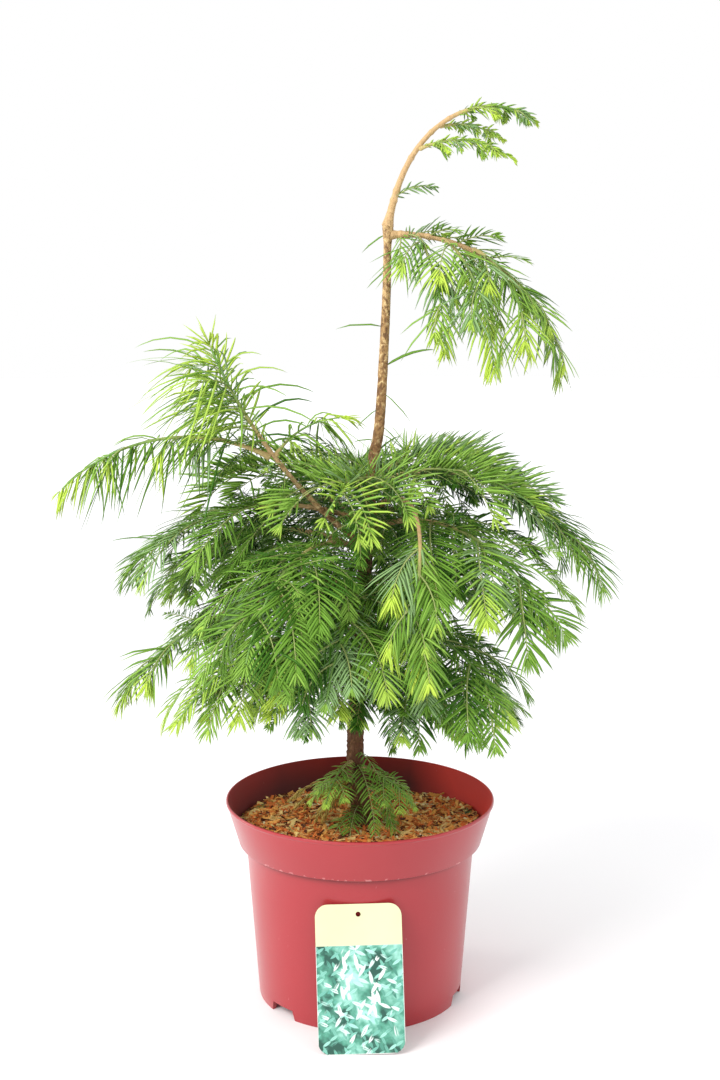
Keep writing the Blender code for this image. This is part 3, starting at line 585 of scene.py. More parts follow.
class Shoot:
    """A line of one length whose azimuth and elevation change steadily along it."""

    def __init__(self, start, azimuth, turn, rise, fall, length, bend=1.0, roll=0.0):
        self.azimuth, self.turn, self.rise, self.fall = azimuth, turn, rise, fall
        self.length, self.bend, self.roll = length, bend, roll
        self.points = [Vector(start)]
        for step in range(LIMB_STEPS):
            ahead = self.direction((step + 0.5) / LIMB_STEPS)
            self.points.append(self.points[-1] + ahead * (length / LIMB_STEPS))

    def azimuth_at(self, t):
        return self.azimuth + self.turn * t

    def elevation(self, t):
        return self.rise + (self.fall - self.rise) * t ** self.bend

    def direction(self, t):
        return heading(self.azimuth_at(t), self.elevation(t))

    def point(self, t):
        place = min(max(t, 0), 1) * LIMB_STEPS
        index = min(int(place), LIMB_STEPS - 1)
        return self.points[index].lerp(self.points[index + 1], place - index)

    def frame(self, t):
        """Point, direction, side and up at a fraction of the length."""
        ahead = self.direction(t)
        turned_by = radians(self.azimuth_at(t))
        side = Vector((-sin(turned_by), cos(turned_by), 0))
        up = ahead.cross(side)
        lean = radians(self.roll)
        return (self.point(t), ahead, side * cos(lean) + up * sin(lean), up * cos(lean) - side * sin(lean))


class Trunk:
    """The trunk's axis: a smooth line through its bends, with its own radii."""

    def __init__(self):
        knots = [Vector((x, 0, z)) * MM for x, z in TRUNK_BENDS]
        knots = [knots[0] * 2 - knots[1], *knots, knots[-1] * 2 - knots[-2]]
        self.points = [self.smooth(knots, step / 80) for step in range(81)]

    @staticmethod
    def smooth(knots, t):
        place = t * (len(knots) - 3)
        index = min(int(place), len(knots) - 4)
        u = place - index
        a, b, c, d = knots[index:index + 4]
        return (b * 2 + (c - a) * u + (a * 2 - b * 5 + c * 4 - d) * u ** 2
                + (b * 3 - a - c * 3 + d) * u ** 3) / 2

    def point(self, t):
        height = self.points[0].z + t * (self.points[-1].z - self.points[0].z)
        for low, high in zip(self.points, self.points[1:]):
            if high.z >= height:
                return low.lerp(high, (height - low.z) / (high.z - low.z))
        return self.points[-1].copy()

    def direction(self, t):
        return (self.point(min(t + 0.02, 1)) - self.point(max(t - 0.02, 0))).normalized()

    def radius(self, t):
        height = self.point(t).z / MM
        for (low, wide), (high, narrow) in zip(TRUNK_RADII, TRUNK_RADII[1:]):
            if height <= high:
                return (wide + (narrow - wide) * (height - low) / (high - low)) * MM
        return TRUNK_RADII[-1][1] * MM


def limb_radius(limb, t):
    return limb.radius * MM * (1 - (1 - LIMB_TIP) * t)


def root_radius(limb):
    """How thick the trunk or the bough is where a limb leaves it."""
    return trunk.radius(limb.at) if limb.root == "trunk" else limb_radius(limbs[limb.root], limb.at)


def all_limbs():
    """The crown's named limbs, and the head's, ring by ring."""
    limbs = [Limb(*row) for row in CROWN_LIMBS]
    for ring in (Ring(*row) for row in RINGS):
        dice = Random(ring.name)
        for number, (azimuth, length) in enumerate(ring.boughs, 1):
            at = ring.at + dice.uniform(-ring.spread, ring.spread)
            limbs.append(Limb(
                f"{ring.name}_{number}", "trunk", at, azimuth, dice.uniform(-TURN_SPREAD, TURN_SPREAD),
                ring.rise + dice.uniform(-RISE_SPREAD, RISE_SPREAD),
                ring.fall + dice.uniform(-FALL_SPREAD, FALL_SPREAD),
                length, ring.radius, ring.bare, ring.sprays, ring.spray_length, ring.needle, 1))
    return {limb.name: limb for limb in limbs}


def grow_limbs():
    """Each limb's line, from the skin of its parent."""
    lines = {}
    for limb in limbs.values():
        first = heading(limb.azimuth, limb.rise)
        parent = trunk if limb.root == "trunk" else lines[limb.root]
        point, ahead = parent.point(limb.at), parent.direction(limb.at)
        along = abs(ahead.dot(first))
        reach = 0 if limb.at == 1 else (root_radius(limb) + limb.radius * MM * along) / sqrt(1 - along ** 2)
        lines[limb.name] = Shoot(
            point + first * reach, limb.azimuth, limb.turn, limb.rise, limb.fall, limb.length * MM,
            limb.bend)
    return lines


def bark_tube(whole, stations, sides, relief):
    """Draw a limb out ring by ring from its foot, each ring pushed in and out by its bark."""
    bm = bmesh.new()
    years_layer = bm.verts.layers.float.new("years")
    foot = bmesh.ops.create_circle(bm, cap_ends=True, segments=sides, radius=1)["verts"]
    cap = foot[0].link_faces[0]
    for index, (point, ahead, radius, years) in enumerate(stations):
        if index:
            grown = bmesh.ops.extrude_face_region(bm, geom=[cap])["geom"]
            cap = next(item for item in grown if isinstance(item, bmesh.types.BMFace))
        side = Vector((0, 1, 0)).cross(ahead)
        if side.length < 0.1:
            side = Vector((1, 0, 0)).cross(ahead)
        side.normalize()
        up = ahead.cross(side)
        for number, corner in enumerate(cap.loops):
            angle = tau * number / sides
            out = side * cos(angle) + up * sin(angle)
            corner.vert.co = point + out * (radius + relief(point + out * radius, out, radius, years))
            corner.vert[years_layer] = years
    gather(whole, bm)


def flaking_bark(place, out, radius, years):
    """Long ridges and flakes on old wood, which fade to fine pores on young wood."""
    tall = Vector((place.x, place.y, place.z * 0.3))
    ridges = 0.5 - abs(noise.noise(tall * 380)) * 2.2
    flakes = noise.fractal(Vector((place.x, place.y, place.z * 0.55)) * 650, 0.8, 2.1, 3)
    depth = 0.16 + 0.75 * max(0.36 - years, 0) / 0.36
    return (ridges * 0.55 + flakes * 0.5) * depth * min(radius, 7 * MM) * 0.44


trunk = Trunk()
limbs = all_limbs()
lines = grow_limbs()
TRUNK_SIDES = 40
TRUNK_RING_GAP = 1.5 * MM
TRUNK_YEARS = 0.44
collars = [(lines[limb.name].point(0), limb.radius * MM) for limb in limbs.values() if limb.root == "trunk"]


def trunk_relief(place, out, radius, years):
    """Bark with a swelling under each bough, and buttresses that run out into the roots."""
    push = flaking_bark(place, out, radius, years)
    for seat, thick in collars:
        apart = (place - seat).length / (2.4 * thick)
        if apart < 2:
            push += 0.5 * thick * exp(-apart ** 2)
    low = max(1 - (place.z - SOIL_EDGE_Z) / (30 * MM), 0)
    around = atan2(out.y, out.x)
    return push + low ** 2 * 1.3 * MM * cos(5 * around + 1.2 * sin(2 * around))


bm = bmesh.new()
stations = []
height = TRUNK_ROOT_Z
top = trunk.points[-1]
while height < top.z:
    t = max((height - trunk.points[0].z) / (top.z - trunk.points[0].z), 0)
    pith = trunk.point(t)
    pith.z = height
    stations.append((pith, trunk.direction(t), trunk.radius(t), TRUNK_YEARS * t ** 0.8))
    height += TRUNK_RING_GAP
ahead, wide = trunk.direction(1), trunk.radius(1)
stations.append((top, ahead, wide * 1.02, TRUNK_YEARS))
stations.append((top + ahead * 1.5 * MM, ahead, wide * 0.6, TRUNK_YEARS))
bark_tube(bm, stations, TRUNK_SIDES, trunk_relief)
bark = Finish("bark", (0.3, 0.14, 0.06), 0.8)
years = bark.node("Attribute", {"attribute_name": "years"}, {}, "Fac")
lengthways = bark.grain(260, 5, (1, 1, 0.25), 0.5)
pores = bark.grain(620, 3, (1, 1, 0.6))
wood = bark.ramp(
    years + (lengthways - 0.5) * 0.16, (0.0, (0.115, 0.042, 0.018)), (0.16, (0.17, 0.07, 0.028)),
    (0.29, (0.25, 0.12, 0.042)), (0.37, (0.38, 0.22, 0.08)), (0.46, (0.52, 0.345, 0.15)),
    (0.6, (0.56, 0.36, 0.17)), (0.7, (0.5, 0.39, 0.15)), (0.84, (0.27, 0.34, 0.09)),
    (1.0, (0.16, 0.33, 0.06)))
patches = bark.grain(85, 4, (1, 1, 0.45), 0.8)
wood = bark.mix(patches.over(0.55, 0.68) * (1 - years.over(0.05, 0.45)) * 0.7, wood, (0.42, 0.22, 0.1))
wood = bark.mix((1 - patches.over(0.32, 0.45)) * (1 - years.over(0.1, 0.62)) * 0.8, wood, (0.09, 0.03, 0.014))
mottle = bark.grain(300, 4, (1, 1, 0.75), 0.8)
dark_mottle = (1 - mottle.over(0.38, 0.49)) * (1 - years.over(0.43, 0.56))
wood = bark.mix(
    mottle.over(0.54, 0.64) * years.over(0.22, 0.34) * (1 - years.over(0.5, 0.62)) * 0.8, wood,
    (0.7, 0.52, 0.26))
wood = bark.mix(dark_mottle * 0.85, wood, (0.12, 0.055, 0.017))
crack = (1 - lengthways.over(0.3, 0.46)) * (1 - years.over(0.1, 0.55))
speckle = pores.over(0.52, 0.62) * (1 - years.over(0.5, 0.62) * 0.75)
wood = bark.mix(crack * 0.75, wood, (0.05, 0.018, 0.009))
bark.set("Base Color", bark.mix(speckle * 0.45, wood, (0.15, 0.06, 0.024)))
bark.set("Roughness", 0.85 - years * 0.35)
bark.bump(lengthways + pores * 0.5 + patches * 1.5 + mottle * 1.5, 0.8, 0.0009)
add_piece("trunk_bark", mesh_of(bm, "trunk", 60), bark, "bark", ["trunk"])

BOUGH_COLLAR = 0.75
COLLAR_LENGTH = 7 * MM
RING_SCAR = 0.22
bm = bmesh.new()
for limb in limbs.values():
    line = lines[limb.name]
    sunk = root_radius(limb) * 0.7
    first_years = TRUNK_YEARS * limb.at ** 0.8 if limb.root == "trunk" else 0.66
    first_years = min(first_years + (0.12 if limb.at > 0.9 else 0.02), 0.74)
    count = max(10, round(limb.length / 2.6))
    stations = [
        (line.point(0) - line.direction(0) * sunk, line.direction(0), limb_radius(limb, 0) * 1.2,
        first_years)]
    dice = Random(limb.name + " scars")
    for step in range(count + 1):
        t = step / count * 0.985
        swell = 1 + BOUGH_COLLAR * exp(-t * line.length / COLLAR_LENGTH)
        if dice.random() < 0.1 and t < max(limb.bare, 0.3):
            swell *= 1 + RING_SCAR
        leafy = max((t - limb.bare) / (1 - limb.bare), 0)
        woody = min(t / max(limb.bare, 0.001), 1)
        grown = max(first_years, 0.62)
        aged = first_years + (grown - first_years) * woody + (1 - grown) * min(leafy * 1.7, 1)
        stations.append((line.point(t), line.direction(t), limb_radius(limb, t) * swell, aged))
    bark_tube(bm, stations, 12 if limb.bare else 8, flaking_bark)
bough_nodes = [f"{limb.name}_bough" for limb in limbs.values() if limb.bare]
add_piece("bough_bark", mesh_of(bm, "boughs", 60), bark, "bark", bough_nodes)

# Foliage
# Flat feathery sprays: soft needles in two ranks on thin green twigs. They are long and lax on the
# bough at the left, short and tufted on the leader, and lime green where they are newly grown.
TERMINAL_NEEDLE = 0.92
SIDE_SPRAYS_TO = 0.69
TWIG_ANGLE = 52
TWIG_ANGLE_SPREAD = 8
TWIG_TURN = 16
TWIG_SHORTENING = 0.55
TWIG_DROOP = (48, 64)
TWIG_ROLL = (-4, 14)
BOUGH_TIP_ROOM = 12 * MM
TRUNK_ROOM = 26 * MM
NEEDLE_SWEEP = 22
TIP_CROWDING = 1.3
TIP_FAN = 5
# Needle tints, darkest first. The darkest, shade, and much of deep go to the inner and heart twigs inside the
# head, where they are painted shade.
TINTS = {
    "shade": (0.012, 0.058, 0.003),
    "deep": (0.048, 0.15, 0.01),
    "green": (0.142, 0.3, 0.032),
    "bright": (0.242, 0.436, 0.064),
    "fresh": (0.39, 0.58, 0.08),
    "lime": (0.49, 0.68, 0.08),
    "dry": (0.5, 0.35, 0.08),
    "pale": (0.235, 0.39, 0.15),
}
LEVELS = list(TINTS)[:6]
PALE_SHARE = 0.24
CAMERA_PLACE = (0, -1.295, 0.607)
DRY = 20
Habit = namedtuple(
    "Habit", "pitch width long twig angle lift loose curl droop tint fresh finer inner roll tip_roll",
    defaults=[0])
HABITS = {
    "leader": (1.8, 1.7, 0.82, 0.85, 46, 0.0, 0.75, 0.16, 0.16, 3.5, 1.2, 1.2, 0, 26),
    "high": (4.6, 2.0, 1.18, 0.85, 54, -0.15, 0.34, 0.26, 0.18, 2.8, 1.9, 0.3, 0, 40),
    "left": (3.9, 1.9, 1.5, 0.64, 58, 0.25, 0.62, 0.24, 0.62, 3.2, 2.6, 0.9, 8, 70, 48),
    "left_inner": (6.4, 1.8, 1.4, 0.3, 54, 0.4, 0.8, 0.2, 0.8, 2.6, 1.4, 0, 0, 40, 30),
    "left_arm": (5.4, 1.9, 1.1, 0.55, 58, -0.5, 0.5, 0.16, 0.66, 2.2, 3.0, 0.3, 0, 30),
    "left_wing": (4.0, 1.9, 1.22, 1, 60, 0.2, 0.12, 0.14, 0.14, 2.3, 1.2, 1.1, 11, 34, 14),
    "left_low": (4.0, 1.9, 1.16, 0.9, 56, 0.0, 0.2, 0.16, 0.22, 2.6, 2.2, 0.7, 9, 30),
    "right": (3.6, 1.8, 1.08, 1, 58, 0.15, 0.12, 0.12, 0.18, 1.5, 1.3, 1.1, 12, 30),
    # The top ring's tint is higher than the rings below it: painted light where the light falls on the top of
    # the head.
    "top": (5.2, 2.0, 1.2, 1, 62, 0.95, 0.12, 0.12, 0.06, 3.0, 0.7, 0.8, 8, 82),
    "upper": (3.8, 2.1, 1.08, 1, 60, 0.22, 0.1, 0.12, 0.18, 2.1, 1.4, 1.4, 10, 34),
    "front": (3.0, 2.2, 1.0, 0.9, 54, -0.35, 0.22, 0.16, 0.2, 2.8, 2.8, 0.8, 0, 40),
    "middle": (3.6, 1.9, 1.0, 1, 60, 0.05, 0.1, 0.12, 0.16, 1.8, 1.6, 1.5, 10, 30),
    "middle_4": (4.2, 2.0, 1.12, 1, 60, 0.05, 0.1, 0.12, 0.16, 3.1, 1.4, 1.2, 10, 30),
    "lower": (3.4, 1.8, 1.0, 1, 60, 0.05, 0.1, 0.12, 0.16, 1.9, 1.7, 1.3, 7, 30),
    "lower_4": (4.0, 1.9, 1.1, 1, 60, 0.05, 0.1, 0.12, 0.16, 3.1, 1.5, 1.2, 7, 30),
    "basal": (2.8, 1.25, 0.98, 1, 62, 0.05, 0.1, 0.12, 0.16, 2.9, 1.0, 0.8, 0, 40),
    "inner": (2.5, 1.3, 1.0, 1, 58, 0.1, 0.25, 0.12, 0.1, 0.5, 0.9, 0, 0, 0),
    "fringe": (3.4, 1.7, 1.0, 1, 48, 0.1, 0.3, 0.18, 0.1, 2.7, 1.0, 0, 0, 0),
    "dry": (2.0, 1.6, 1.2, 1, 40, -0.1, 0.5, 0.2, 0.3, DRY, 0, 0, 0, 0),
}
HABITS = {name: Habit(*row) for name, row in HABITS.items()}
HABITS["lower_5"] = HABITS["lower_4"]
INNER = HABITS["inner"]
SMALL = (INNER, HABITS["basal"])
DRY_SPRIGS = ((196, 14, 58), (208, 26, 66), (184, 6, 50), (220, 4, 52), (202, -12, 44))
BASAL_SPRIGS = (
    (0.105, 286, 14, -88, 82), (0.13, 306, 2, -84, 74), (0.03, 258, 30, -70, 66), (0.015, 232, 24, -48, 56),
    (0.07, 302, 24, -76, 72), (0.02, 320, 34, -50, 54))
FRINGE_SPRIGS = (
    ("high", 0.06, 300, 4), ("high", 0.1, 40, 22), ("high", 0.15, 318, 28), ("high", 0.21, 30, 18),
    ("high", 0.27, 334, 30), ("high", 0.34, 24, 14), ("high", 0.41, 338, 18),
    ("high", 0.04, 262, -40), ("left", 0.46, 250, 22), ("left", 0.54, 150, 34), ("left_arm", 0.16, 226, 30),
    ("left_arm", 0.22, 160, 20), ("left", 0.4, 236, -10))
INNER_TWIG = (36, 66)
INNER_NEEDLE = (13, 19)
HEART_TWIGS = 54
GOLDEN_ANGLE = 137.5
SHORT_STATIONS = ((0.0, 0.45), (0.22, 1.0), (0.68, 0.86))
LONG_STATIONS = ((0.0, 0.4), (0.12, 0.86), (0.32, 1.0), (0.54, 0.96), (0.76, 0.72), (0.91, 0.4))
LONG_NEEDLE = 39 * MM
LEAF_RIDGE = 0.2
LONE_NEEDLES = (
    (0.84, 184, 14, 38, 1.7), (0.778, 4, 34, 46, 2.6), (0.73, 330, -30, 28, 1.0), (0.705, 212, -22, 22, 1.0),
    (0.676, 350, -38, 34, 1.0), (0.655, 160, 8, 18, 1.2), (0.64, 20, 44, 26, 1.4), (0.61, 186, 40, 24, 1.8),
    (0.622, 350, 30, 30, 1.8), (0.985, 172, -24, 20, 1.6), (0.925, 188, -30, 16, 1.2),
)
FLAT_SIDE = (0, -0.8, 0.6)
LONG_ARCS = {
    "left": (
        (0.97, 178, 34, 74, 1.6, "bright"), (0.93, 196, 12, 58, 1.8, "fresh"),
        (0.96, 30, 62, 34, 1.5, "green"), (0.9, 350, 48, 50, 1.5, "fresh"),
        (0.84, 8, 40, 62, 1.7, "fresh"), (0.8, 340, 28, 54, 1.7, "bright"),
        (0.76, 14, 36, 78, 2.1, "green"), (0.72, 352, 20, 66, 1.9, "bright"),
        (0.66, 4, 48, 74, 2.2, "deep"), (0.63, 336, 34, 60, 1.9, "green"),
        (0.6, 356, 18, 48, 1.9, "deep"), (0.56, 20, 30, 40, 2.0, "green"),
        (0.86, 184, 18, 70, 1.8, "fresh"), (0.8, 172, 8, 78, 1.9, "bright"),
        (0.74, 200, 2, 74, 2.0, "green"), (0.68, 188, -10, 66, 1.8, "green")),
    "left_arm": (
        (0.3, 250, 30, 44, 1.7, "green"), (0.5, 200, 26, 40, 1.6, "bright"),
        (0.12, 320, 30, 52, 1.8, "green"), (0.2, 240, -50, 58, 1.9, "deep")),
}
Spray = namedtuple("Spray", "line needle habit tint fresh first", defaults=[0])


def habit_of(limb):
    return HABITS.get(limb.name) or HABITS[limb.name.split("_")[0]]


def on_trunk(limb):
    """Whether a limb's leaves start at the trunk, with no bare wood between."""
    return limb.root == "trunk" and limb.bare == 0


def side_sprays(limb, line, habit):
    """The leafy twigs of a limb, on both sides in turn, as its solid has them."""
    dice = Random(limb.name + " sprays")
    shades = Random(limb.name + " shades")
    leafy = 1 - limb.bare
    first = limb.bare + (TRUNK_ROOM if on_trunk(limb) else BOUGH_TIP_ROOM) / line.length
    last = limb.bare + leafy * SIDE_SPRAYS_TO
    for number in range(limb.sprays):
        t = first + (last - first) * number / max(limb.sprays - 1, 1)
        hand = 1 if number % 2 else -1
        elevation = line.elevation(t)
        length = limb.spray_length * MM * (1.06 - TWIG_SHORTENING * (t - limb.bare) / leafy)
        length *= dice.uniform(0.88, 1.1)
        angle = TWIG_ANGLE + dice.uniform(-TWIG_ANGLE_SPREAD, TWIG_ANGLE_SPREAD)
        rise = elevation * 0.55 + dice.uniform(2, 12)
        fall = rise - dice.uniform(*TWIG_DROOP)
        roll = hand * dice.uniform(*TWIG_ROLL)
        needle = limb.needle * MM * dice.uniform(0.9, 1.06)
        azimuth = line.azimuth_at(t) + hand * angle
        twig = Shoot(line.point(t), azimuth, -hand * TWIG_TURN, rise, fall, length * habit.twig, 1, roll)
        yield Spray(twig, needle * habit.long, habit, habit.tint + shades.uniform(-0.8, 0.7),
                    habit.fresh * shades.uniform(0.3, 1.3))


def finer_sprays(limb, line, habit):
    """The lesser twigs in between, on the other side of each."""
    dice = Random(limb.name + " finer")
    leafy = 1 - limb.bare
    first = limb.bare + (TRUNK_ROOM * 0.55 if on_trunk(limb) else BOUGH_TIP_ROOM * 0.5) / line.length
    last = limb.bare + leafy * 0.86
    count = round(limb.sprays * habit.finer)
    for number in range(count):
        t = first + (last - first) * (number + dice.uniform(0, 0.6)) / count
        hand = -1 if number % 2 else 1
        elevation = line.elevation(t)
        length = limb.spray_length * MM * (0.92 - 0.45 * (t - limb.bare) / leafy) * dice.uniform(0.6, 1.0)
        rise = elevation * 0.6 + dice.uniform(-16, 18)
        twig = Shoot(
            line.point(t), line.azimuth_at(t) + hand * dice.uniform(34, 62), -hand * TWIG_TURN, rise,
            rise - dice.uniform(36, 66), length * habit.twig, 1, hand * dice.uniform(-12, habit.roll))
        needle = limb.needle * MM * dice.uniform(0.66, 0.95)
        yield Spray(twig, needle * habit.long, habit, habit.tint + dice.uniform(-1.3, 0.4),
                    habit.fresh * dice.uniform(0.1, 1.1))


def inner_sprays(limb, line, habit):
    """Short shaded twigs on the inner half of a limb, which close the middle of the head; their dark tints
    are painted shade.
    """
    dice = Random(limb.name + " inner")
    for number in range(habit.inner):
        t = dice.uniform(0.05, 0.62)
        hand = -1 if number % 2 else 1
        rise = dice.uniform(-42, 46)
        twig = Shoot(line.point(t), line.azimuth_at(t) + hand * dice.uniform(20, 84), 0, rise,
                     rise - dice.uniform(10, 50), dice.uniform(*INNER_TWIG) * MM, 1, dice.uniform(-40, 40))
        yield Spray(
            twig, dice.uniform(*INNER_NEEDLE) * MM, INNER, INNER.tint + dice.uniform(-0.8, 1.5),
            INNER.fresh)


def all_sprays():
    for limb in limbs.values():
        line = lines[limb.name]
        habit = habit_of(limb)
        line.roll = habit.tip_roll
        dice = Random(limb.name + " tint")
        yield Spray(
            line, limb.needle * MM * TERMINAL_NEEDLE * habit.long, habit,
            habit.tint + dice.uniform(-0.3, 0.8), habit.fresh * dice.uniform(0.6, 1.3), limb.bare + 0.02)
        yield from side_sprays(limb, line, habit)
        yield from finer_sprays(limb, line, habit)
        yield from inner_sprays(limb, line, habit)
    sprig = Shoot(lines["leader"].point(0.13), -8, 0, 40, -12, 34 * MM)
    yield Spray(sprig, 13 * MM, HABITS["leader"], 2.2, 0.6)
    dice = Random("sprigs")
    for name, at, azimuth, rise in FRINGE_SPRIGS:
        twig = Shoot(lines[name].point(at), azimuth, 0, rise, rise - 40, dice.uniform(22, 34) * MM, 1,
                     dice.uniform(-50, 50))
        yield Spray(twig, dice.uniform(15, 22) * MM, HABITS["fringe"], dice.uniform(1.8, 3.0), 1.2)
    for at, azimuth, rise, fall, length in BASAL_SPRIGS:
        twig = Shoot(trunk.point(at), azimuth, dice.uniform(-16, 16), rise, fall, length * MM, 0.8,
                     dice.uniform(-14, 14))
        yield Spray(twig, dice.uniform(13, 16) * MM, HABITS["basal"], dice.uniform(1.4, 3.0), 1.0)
    # Heart twigs fill the middle of the head in dark tints: painted shade.
    dice = Random("heart")
    for number in range(HEART_TWIGS):
        at = 0.26 + 0.36 * number / HEART_TWIGS
        rise = dice.uniform(-14, 40)
        twig = Shoot(trunk.point(at), GOLDEN_ANGLE * number, dice.uniform(-20, 20), rise, rise - 56,
                     dice.uniform(64, 116) * MM, 1, dice.uniform(-30, 30))
        yield Spray(twig, dice.uniform(15, 24) * MM, INNER, dice.uniform(0.2, 2.0), 0.9)
    for azimuth, rise, length in DRY_SPRIGS:
        sprig = Shoot(trunk.point(0.07), azimuth, 0, rise, rise - 60, length * MM)
        yield Spray(sprig, 10 * MM, HABITS["dry"], DRY, 0)


def needle_length(needle, s):
    """Needle length at a fraction of a spray: shorter at its foot and its tip."""
    return needle * min(0.5 + 1.9 * s, 1) * (1 - 0.62 * s ** 2.4)


def tint_at(level):
    """The name of a tint from a level, darkest first; the dry one is past the freshest."""
    if level >= DRY - 1:
        return "dry"
    return LEVELS[min(max(round(level), 0), len(LEVELS) - 1)]


def set_needles(spray):
    """Lay a spray's needles in two ranks, closer towards its tip, with a fan of new ones there."""
    habit = spray.habit
    leafy = (1 - spray.first) * spray.line.length
    count = max(5, round(leafy / (habit.pitch * MM)))
    turned_over = dice.random() < PALE_SHARE and habit not in SMALL
    for number in range(count + 1):
        s = 1 - (1 - number / count) ** TIP_CROWDING
        point, ahead, side, up = spray.line.frame(spray.first + (1 - spray.first) * s)
        tint = tint_at(spray.tint + spray.fresh * max(s - 0.6, 0) / 0.4 + dice.uniform(-0.25, 0.25))
        if turned_over and tint in ("green", "bright"):
            tint = "pale"
        for hand in (1, -1):
            if dice.random() < 0.04:
                continue
            angle = radians(habit.angle - NEEDLE_SWEEP * s ** 2 + dice.gauss(0, 4))
            raised = habit.lift + dice.gauss(0, 1) * (habit.loose + 0.06)
            across = side * hand * cos(raised) + up * sin(raised)
            out = across * sin(angle) + ahead * cos(angle)
            length = needle_length(spray.needle, s) * dice.uniform(0.86 - habit.loose * 0.35, 1.06)
            sweep = ahead * habit.curl * length * dice.uniform(0.5, 1.5) - up * 0.06 * length
            sweep.z -= habit.droop * length * dice.uniform(0.6, 1.4)
            face = up * cos(raised) - side * hand * sin(raised)
            root = point + across * 0.2 * MM + ahead * dice.uniform(-0.3, 0.3) * habit.pitch * MM
            dealt[tint].append(
                (*root, *out, *face, *sweep, length, habit.width * MM * dice.uniform(0.85, 1.1)))
    point, ahead, side, up = spray.line.frame(1)
    tint = tint_at(spray.tint + spray.fresh + 0.2)
    for number in range(TIP_FAN):
        angle = radians((number - TIP_FAN // 2) * 15 + dice.gauss(0, 5))
        out = (ahead * cos(angle) + side * sin(angle) + up * dice.gauss(0, 0.16)).normalized()
        length = spray.needle * 0.34 * dice.uniform(0.7, 1.2)
        dealt[tint].append((*point, *out, *up, *(-up * 0.1 * length), length, habit.width * MM * 0.85))


def lay_needle(tint, root, azimuth, rise, length, width, sag):
    """One needle by itself, with its flat side to the front, that sags by a share of its length."""
    sweep = (0, 0, -sag * length * MM)
    dealt[tint].append((*root, *heading(azimuth, rise), *FLAT_SIDE, *sweep, length * MM, width * MM))


def along_needles(rows, s):
    """The point of each needle at a fraction of its length."""
    return rows[:, 0:3] + rows[:, 3:6] * rows[:, 12:13] * s + rows[:, 9:12] * s ** 2


def is_clear(rows):
    """Which needles keep off the compost, the pot's rim and the trunk."""
    clear = np.ones(len(rows), bool)
    for s in (0.35, 0.7, 1.0):
        points = along_needles(rows, s)
        x, y, z = points.T
        clear &= z >= np.where(np.hypot(x, y) < BODY_RADIUS, SOIL_TOP_Z + 1 * MM, POT_HEIGHT + 4 * MM)
        heights = [knot.z for knot in trunk.points]
        middle = np.interp(z, heights, [knot.x for knot in trunk.points])
        wide = np.interp(z, *(np.array(TRUNK_RADII) * MM).T)
        clear &= (np.hypot(x - middle, y) >= wide) | (z >= heights[-1])
    return clear


def parts_before(rows, line, first, last, gap):
    """Which needles would lie across the front of a bough that rides on top of the head."""
    covers = np.zeros(len(rows), bool)
    eye = np.array(CAMERA_PLACE)
    for k in range(25):
        knot = np.array(line.point(first + (last - first) * k / 24)) - eye
        for s in np.linspace(0, 1, 6):
            points = along_needles(rows, s) - eye
            seen = points / points[:, 1:2] - knot / knot[1]
            apart = np.hypot(seen[:, 0], seen[:, 2]) * knot[1]
            covers |= (apart < gap) & (points[:, 1] < knot[1] - 1 * MM)
    return covers


def unit(rows):
    return rows / np.linalg.norm(rows, axis=1, keepdims=True)


def leaf_arrays(rows, stations):
    """Each needle as a slim ridged blade: three-cornered rings and a tip."""
    root, out, face, sweep = (rows[:, k:k + 3] for k in (0, 3, 6, 9))
    length, width = rows[:, 12:13], rows[:, 13:14]
    corners = []
    for s, fraction in stations:
        centre = root + out * length * s + sweep * s ** 2
        ahead = unit(out * length + sweep * 2 * s)
        side = unit(np.cross(ahead, face))
        up = np.cross(side, ahead)
        half = width * fraction / 2
        corners += [centre + side * half, centre - side * half, centre + up * width * fraction * LEAF_RIDGE]
    corners.append(root + out * length + sweep)
    places = np.stack(corners, axis=1)
    tip = len(corners) - 1
    faces = [(0, 2, 1)]
    for ring in range(0, tip - 3, 3):
        for a, b in ((0, 1), (1, 2), (2, 0)):
            faces += [(ring + a, ring + b, ring + b + 3), (ring + a, ring + b + 3, ring + a + 3)]
    faces += [(tip - 3, tip - 2, tip), (tip - 2, tip - 1, tip), (tip - 1, tip - 3, tip)]
    faces = np.array(faces)[None] + (np.arange(len(rows)) * len(corners))[:, None, None]
    return places.reshape(-1, 3), faces.reshape(-1, 3)


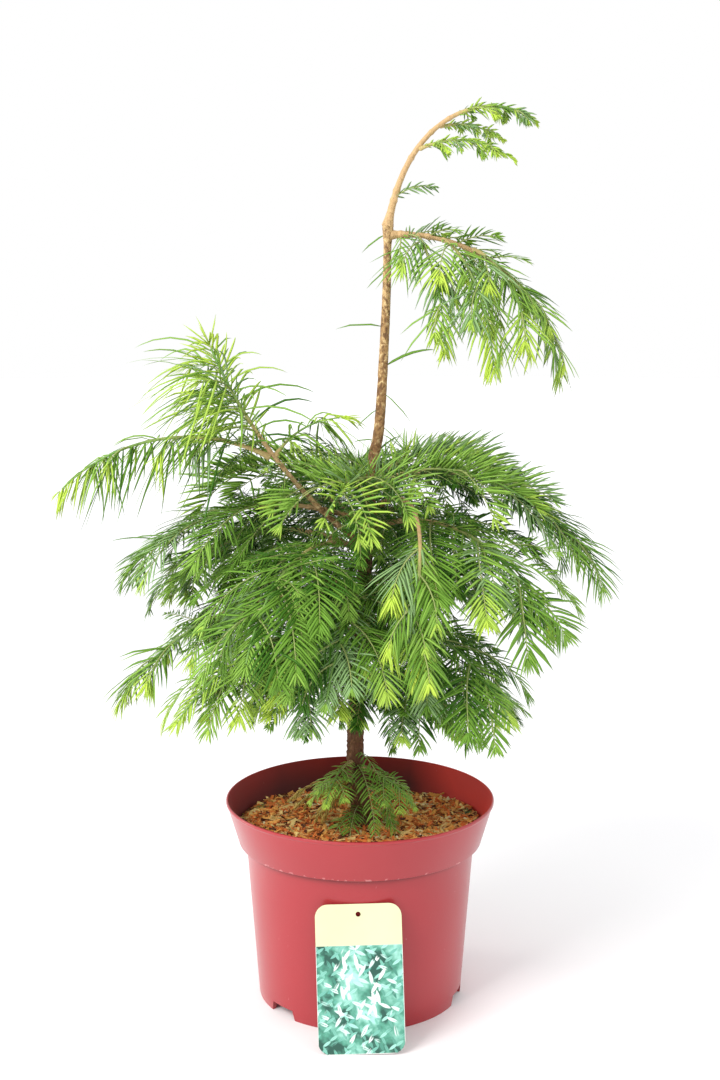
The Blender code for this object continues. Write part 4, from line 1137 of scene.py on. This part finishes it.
foliage_nodes = [f"{limb.name}_foliage" for limb in limbs.values()]
PIECE_TRIANGLES = 190000
dealt = {tint: [] for tint in TINTS}
twig_paths = []
dice = Random("needles")
for spray in all_sprays():
    set_needles(spray)
    if spray.first == 0:
        wide = 0.52 if spray.habit in SMALL else 0.75
        path = [(spray.line.point(k / 8 * 0.98), wide * (1 - 0.6 * k / 8) * MM) for k in range(9)]
        if all(place.z > POT_HEIGHT + 3 * MM or place.xy.length < BODY_RADIUS - 4 * MM for place, _ in path):
            twig_paths.append(path)
for at, *sizes in LONE_NEEDLES:
    root = trunk.point(at) + heading(sizes[0], 0) * trunk.radius(at) * 0.9
    lay_needle("green", root, *sizes, 0.3)
for name, arcs in LONG_ARCS.items():
    for at, *sizes, tint in arcs:
        lay_needle(tint, lines[name].point(at), *sizes, 0.52)
for tint, colour in TINTS.items():
    leaf = Finish(f"needle_{tint}", colour, 0.48, Specular_IOR_Level=0.2)
    rows = np.array(dealt[tint])
    rows = rows[is_clear(rows) & ~parts_before(rows, lines["left"], 0.12, 0.5, 3.0 * MM)]
    is_long = rows[:, 12] > LONG_NEEDLE
    kinds = (("short", rows[~is_long], SHORT_STATIONS), ("long", rows[is_long], LONG_STATIONS))
    for kind, those, stations in kinds:
        parts = ceil(len(those) * 6 * len(stations) / PIECE_TRIANGLES)
        for part in range(parts):
            places, triangles = leaf_arrays(those[part::parts], stations)
            name = f"needles_{tint}_{kind}_{part + 1}"
            mesh = bpy.data.meshes.new(name)
            mesh.from_pydata(places, [], triangles, shade_flat=False)
            mesh.validate()
            add_piece(name, mesh, leaf, "foliage", foliage_nodes)
twig_green = Finish("twig_green", (0.3, 0.36, 0.11), 0.55)
strands("twigs", twig_paths, twig_green, "foliage", foliage_nodes, 6)

# Studio
# A plain pale floor, soft light from a large box at the front left and a fill at the right, and
# the camera at the height and angle of the photograph.
bm = bmesh.new()
bmesh.ops.create_circle(bm, cap_ends=True, segments=64, radius=8)
floor = in_scene("floor", mesh_of(bm, "floor"))
glow_and_paint = Finish("floor_paint", (0.95, 0.95, 0.97), 0.6, Emission_Strength=0.25)
glow_and_paint.set("Base Color", glow_and_paint.mix(glow_and_paint.grain(3, 2), (0.93, 0.93, 0.955), (0.965, 0.965, 0.98)))
# Painted light: the floor glows more the farther it is from the pot, so that it fades into the white world.
far = glow_and_paint.node("VectorMath", {"operation": "LENGTH"}, {0: glow_and_paint.place()}, "Value")
glow_and_paint.set("Emission Color", glow_and_paint.mix(far.over(1.2, 3.5), (0, 0, 0), (1, 1, 1)))
floor.data.materials.append(glow_and_paint.material)


def soft_box(name, place, aim, width, height, power, colour):
    """An area light that looks at a point."""
    light = bpy.data.lights.new(name, "AREA")
    light.shape = "RECTANGLE"
    light.size, light.size_y = width, height
    light.energy, light.color = power, colour
    holder = in_scene(name, light)
    holder.location = place
    holder.rotation_euler = (Vector(aim) - Vector(place)).to_track_quat("-Z", "Y").to_euler()


soft_box("key", (-1.5, -1.6, 1.9), (0, 0, 0.35), 1.1, 1.1, 54, (1.0, 0.98, 0.95))
soft_box("window", (-1.5, 0.35, 0.5), (0, 0, 0.15), 0.4, 1.5, 7, (1.0, 0.95, 0.88))
soft_box("strip", (1.3, -0.25, 0.5), (0, 0, 0.15), 0.16, 1.3, 2.0, (1.0, 0.95, 0.9))
world = bpy.data.worlds.new("studio")
bpy.context.scene.world = world
world.use_nodes = True
background = world.node_tree.nodes["Background"].inputs
background["Color"].default_value = (1, 1, 1, 1)
background["Strength"].default_value = 1.0
bpy.context.scene.view_settings.view_transform = "Standard"

CAMERA_LENS = 53.33
CAMERA_DIP = 0.167
camera = bpy.data.cameras.new("camera")
camera.lens = CAMERA_LENS
holder = in_scene("camera", camera)
holder.location = CAMERA_PLACE
holder.rotation_euler = (pi / 2 - CAMERA_DIP, 0, 0)
bpy.context.scene.camera = holder
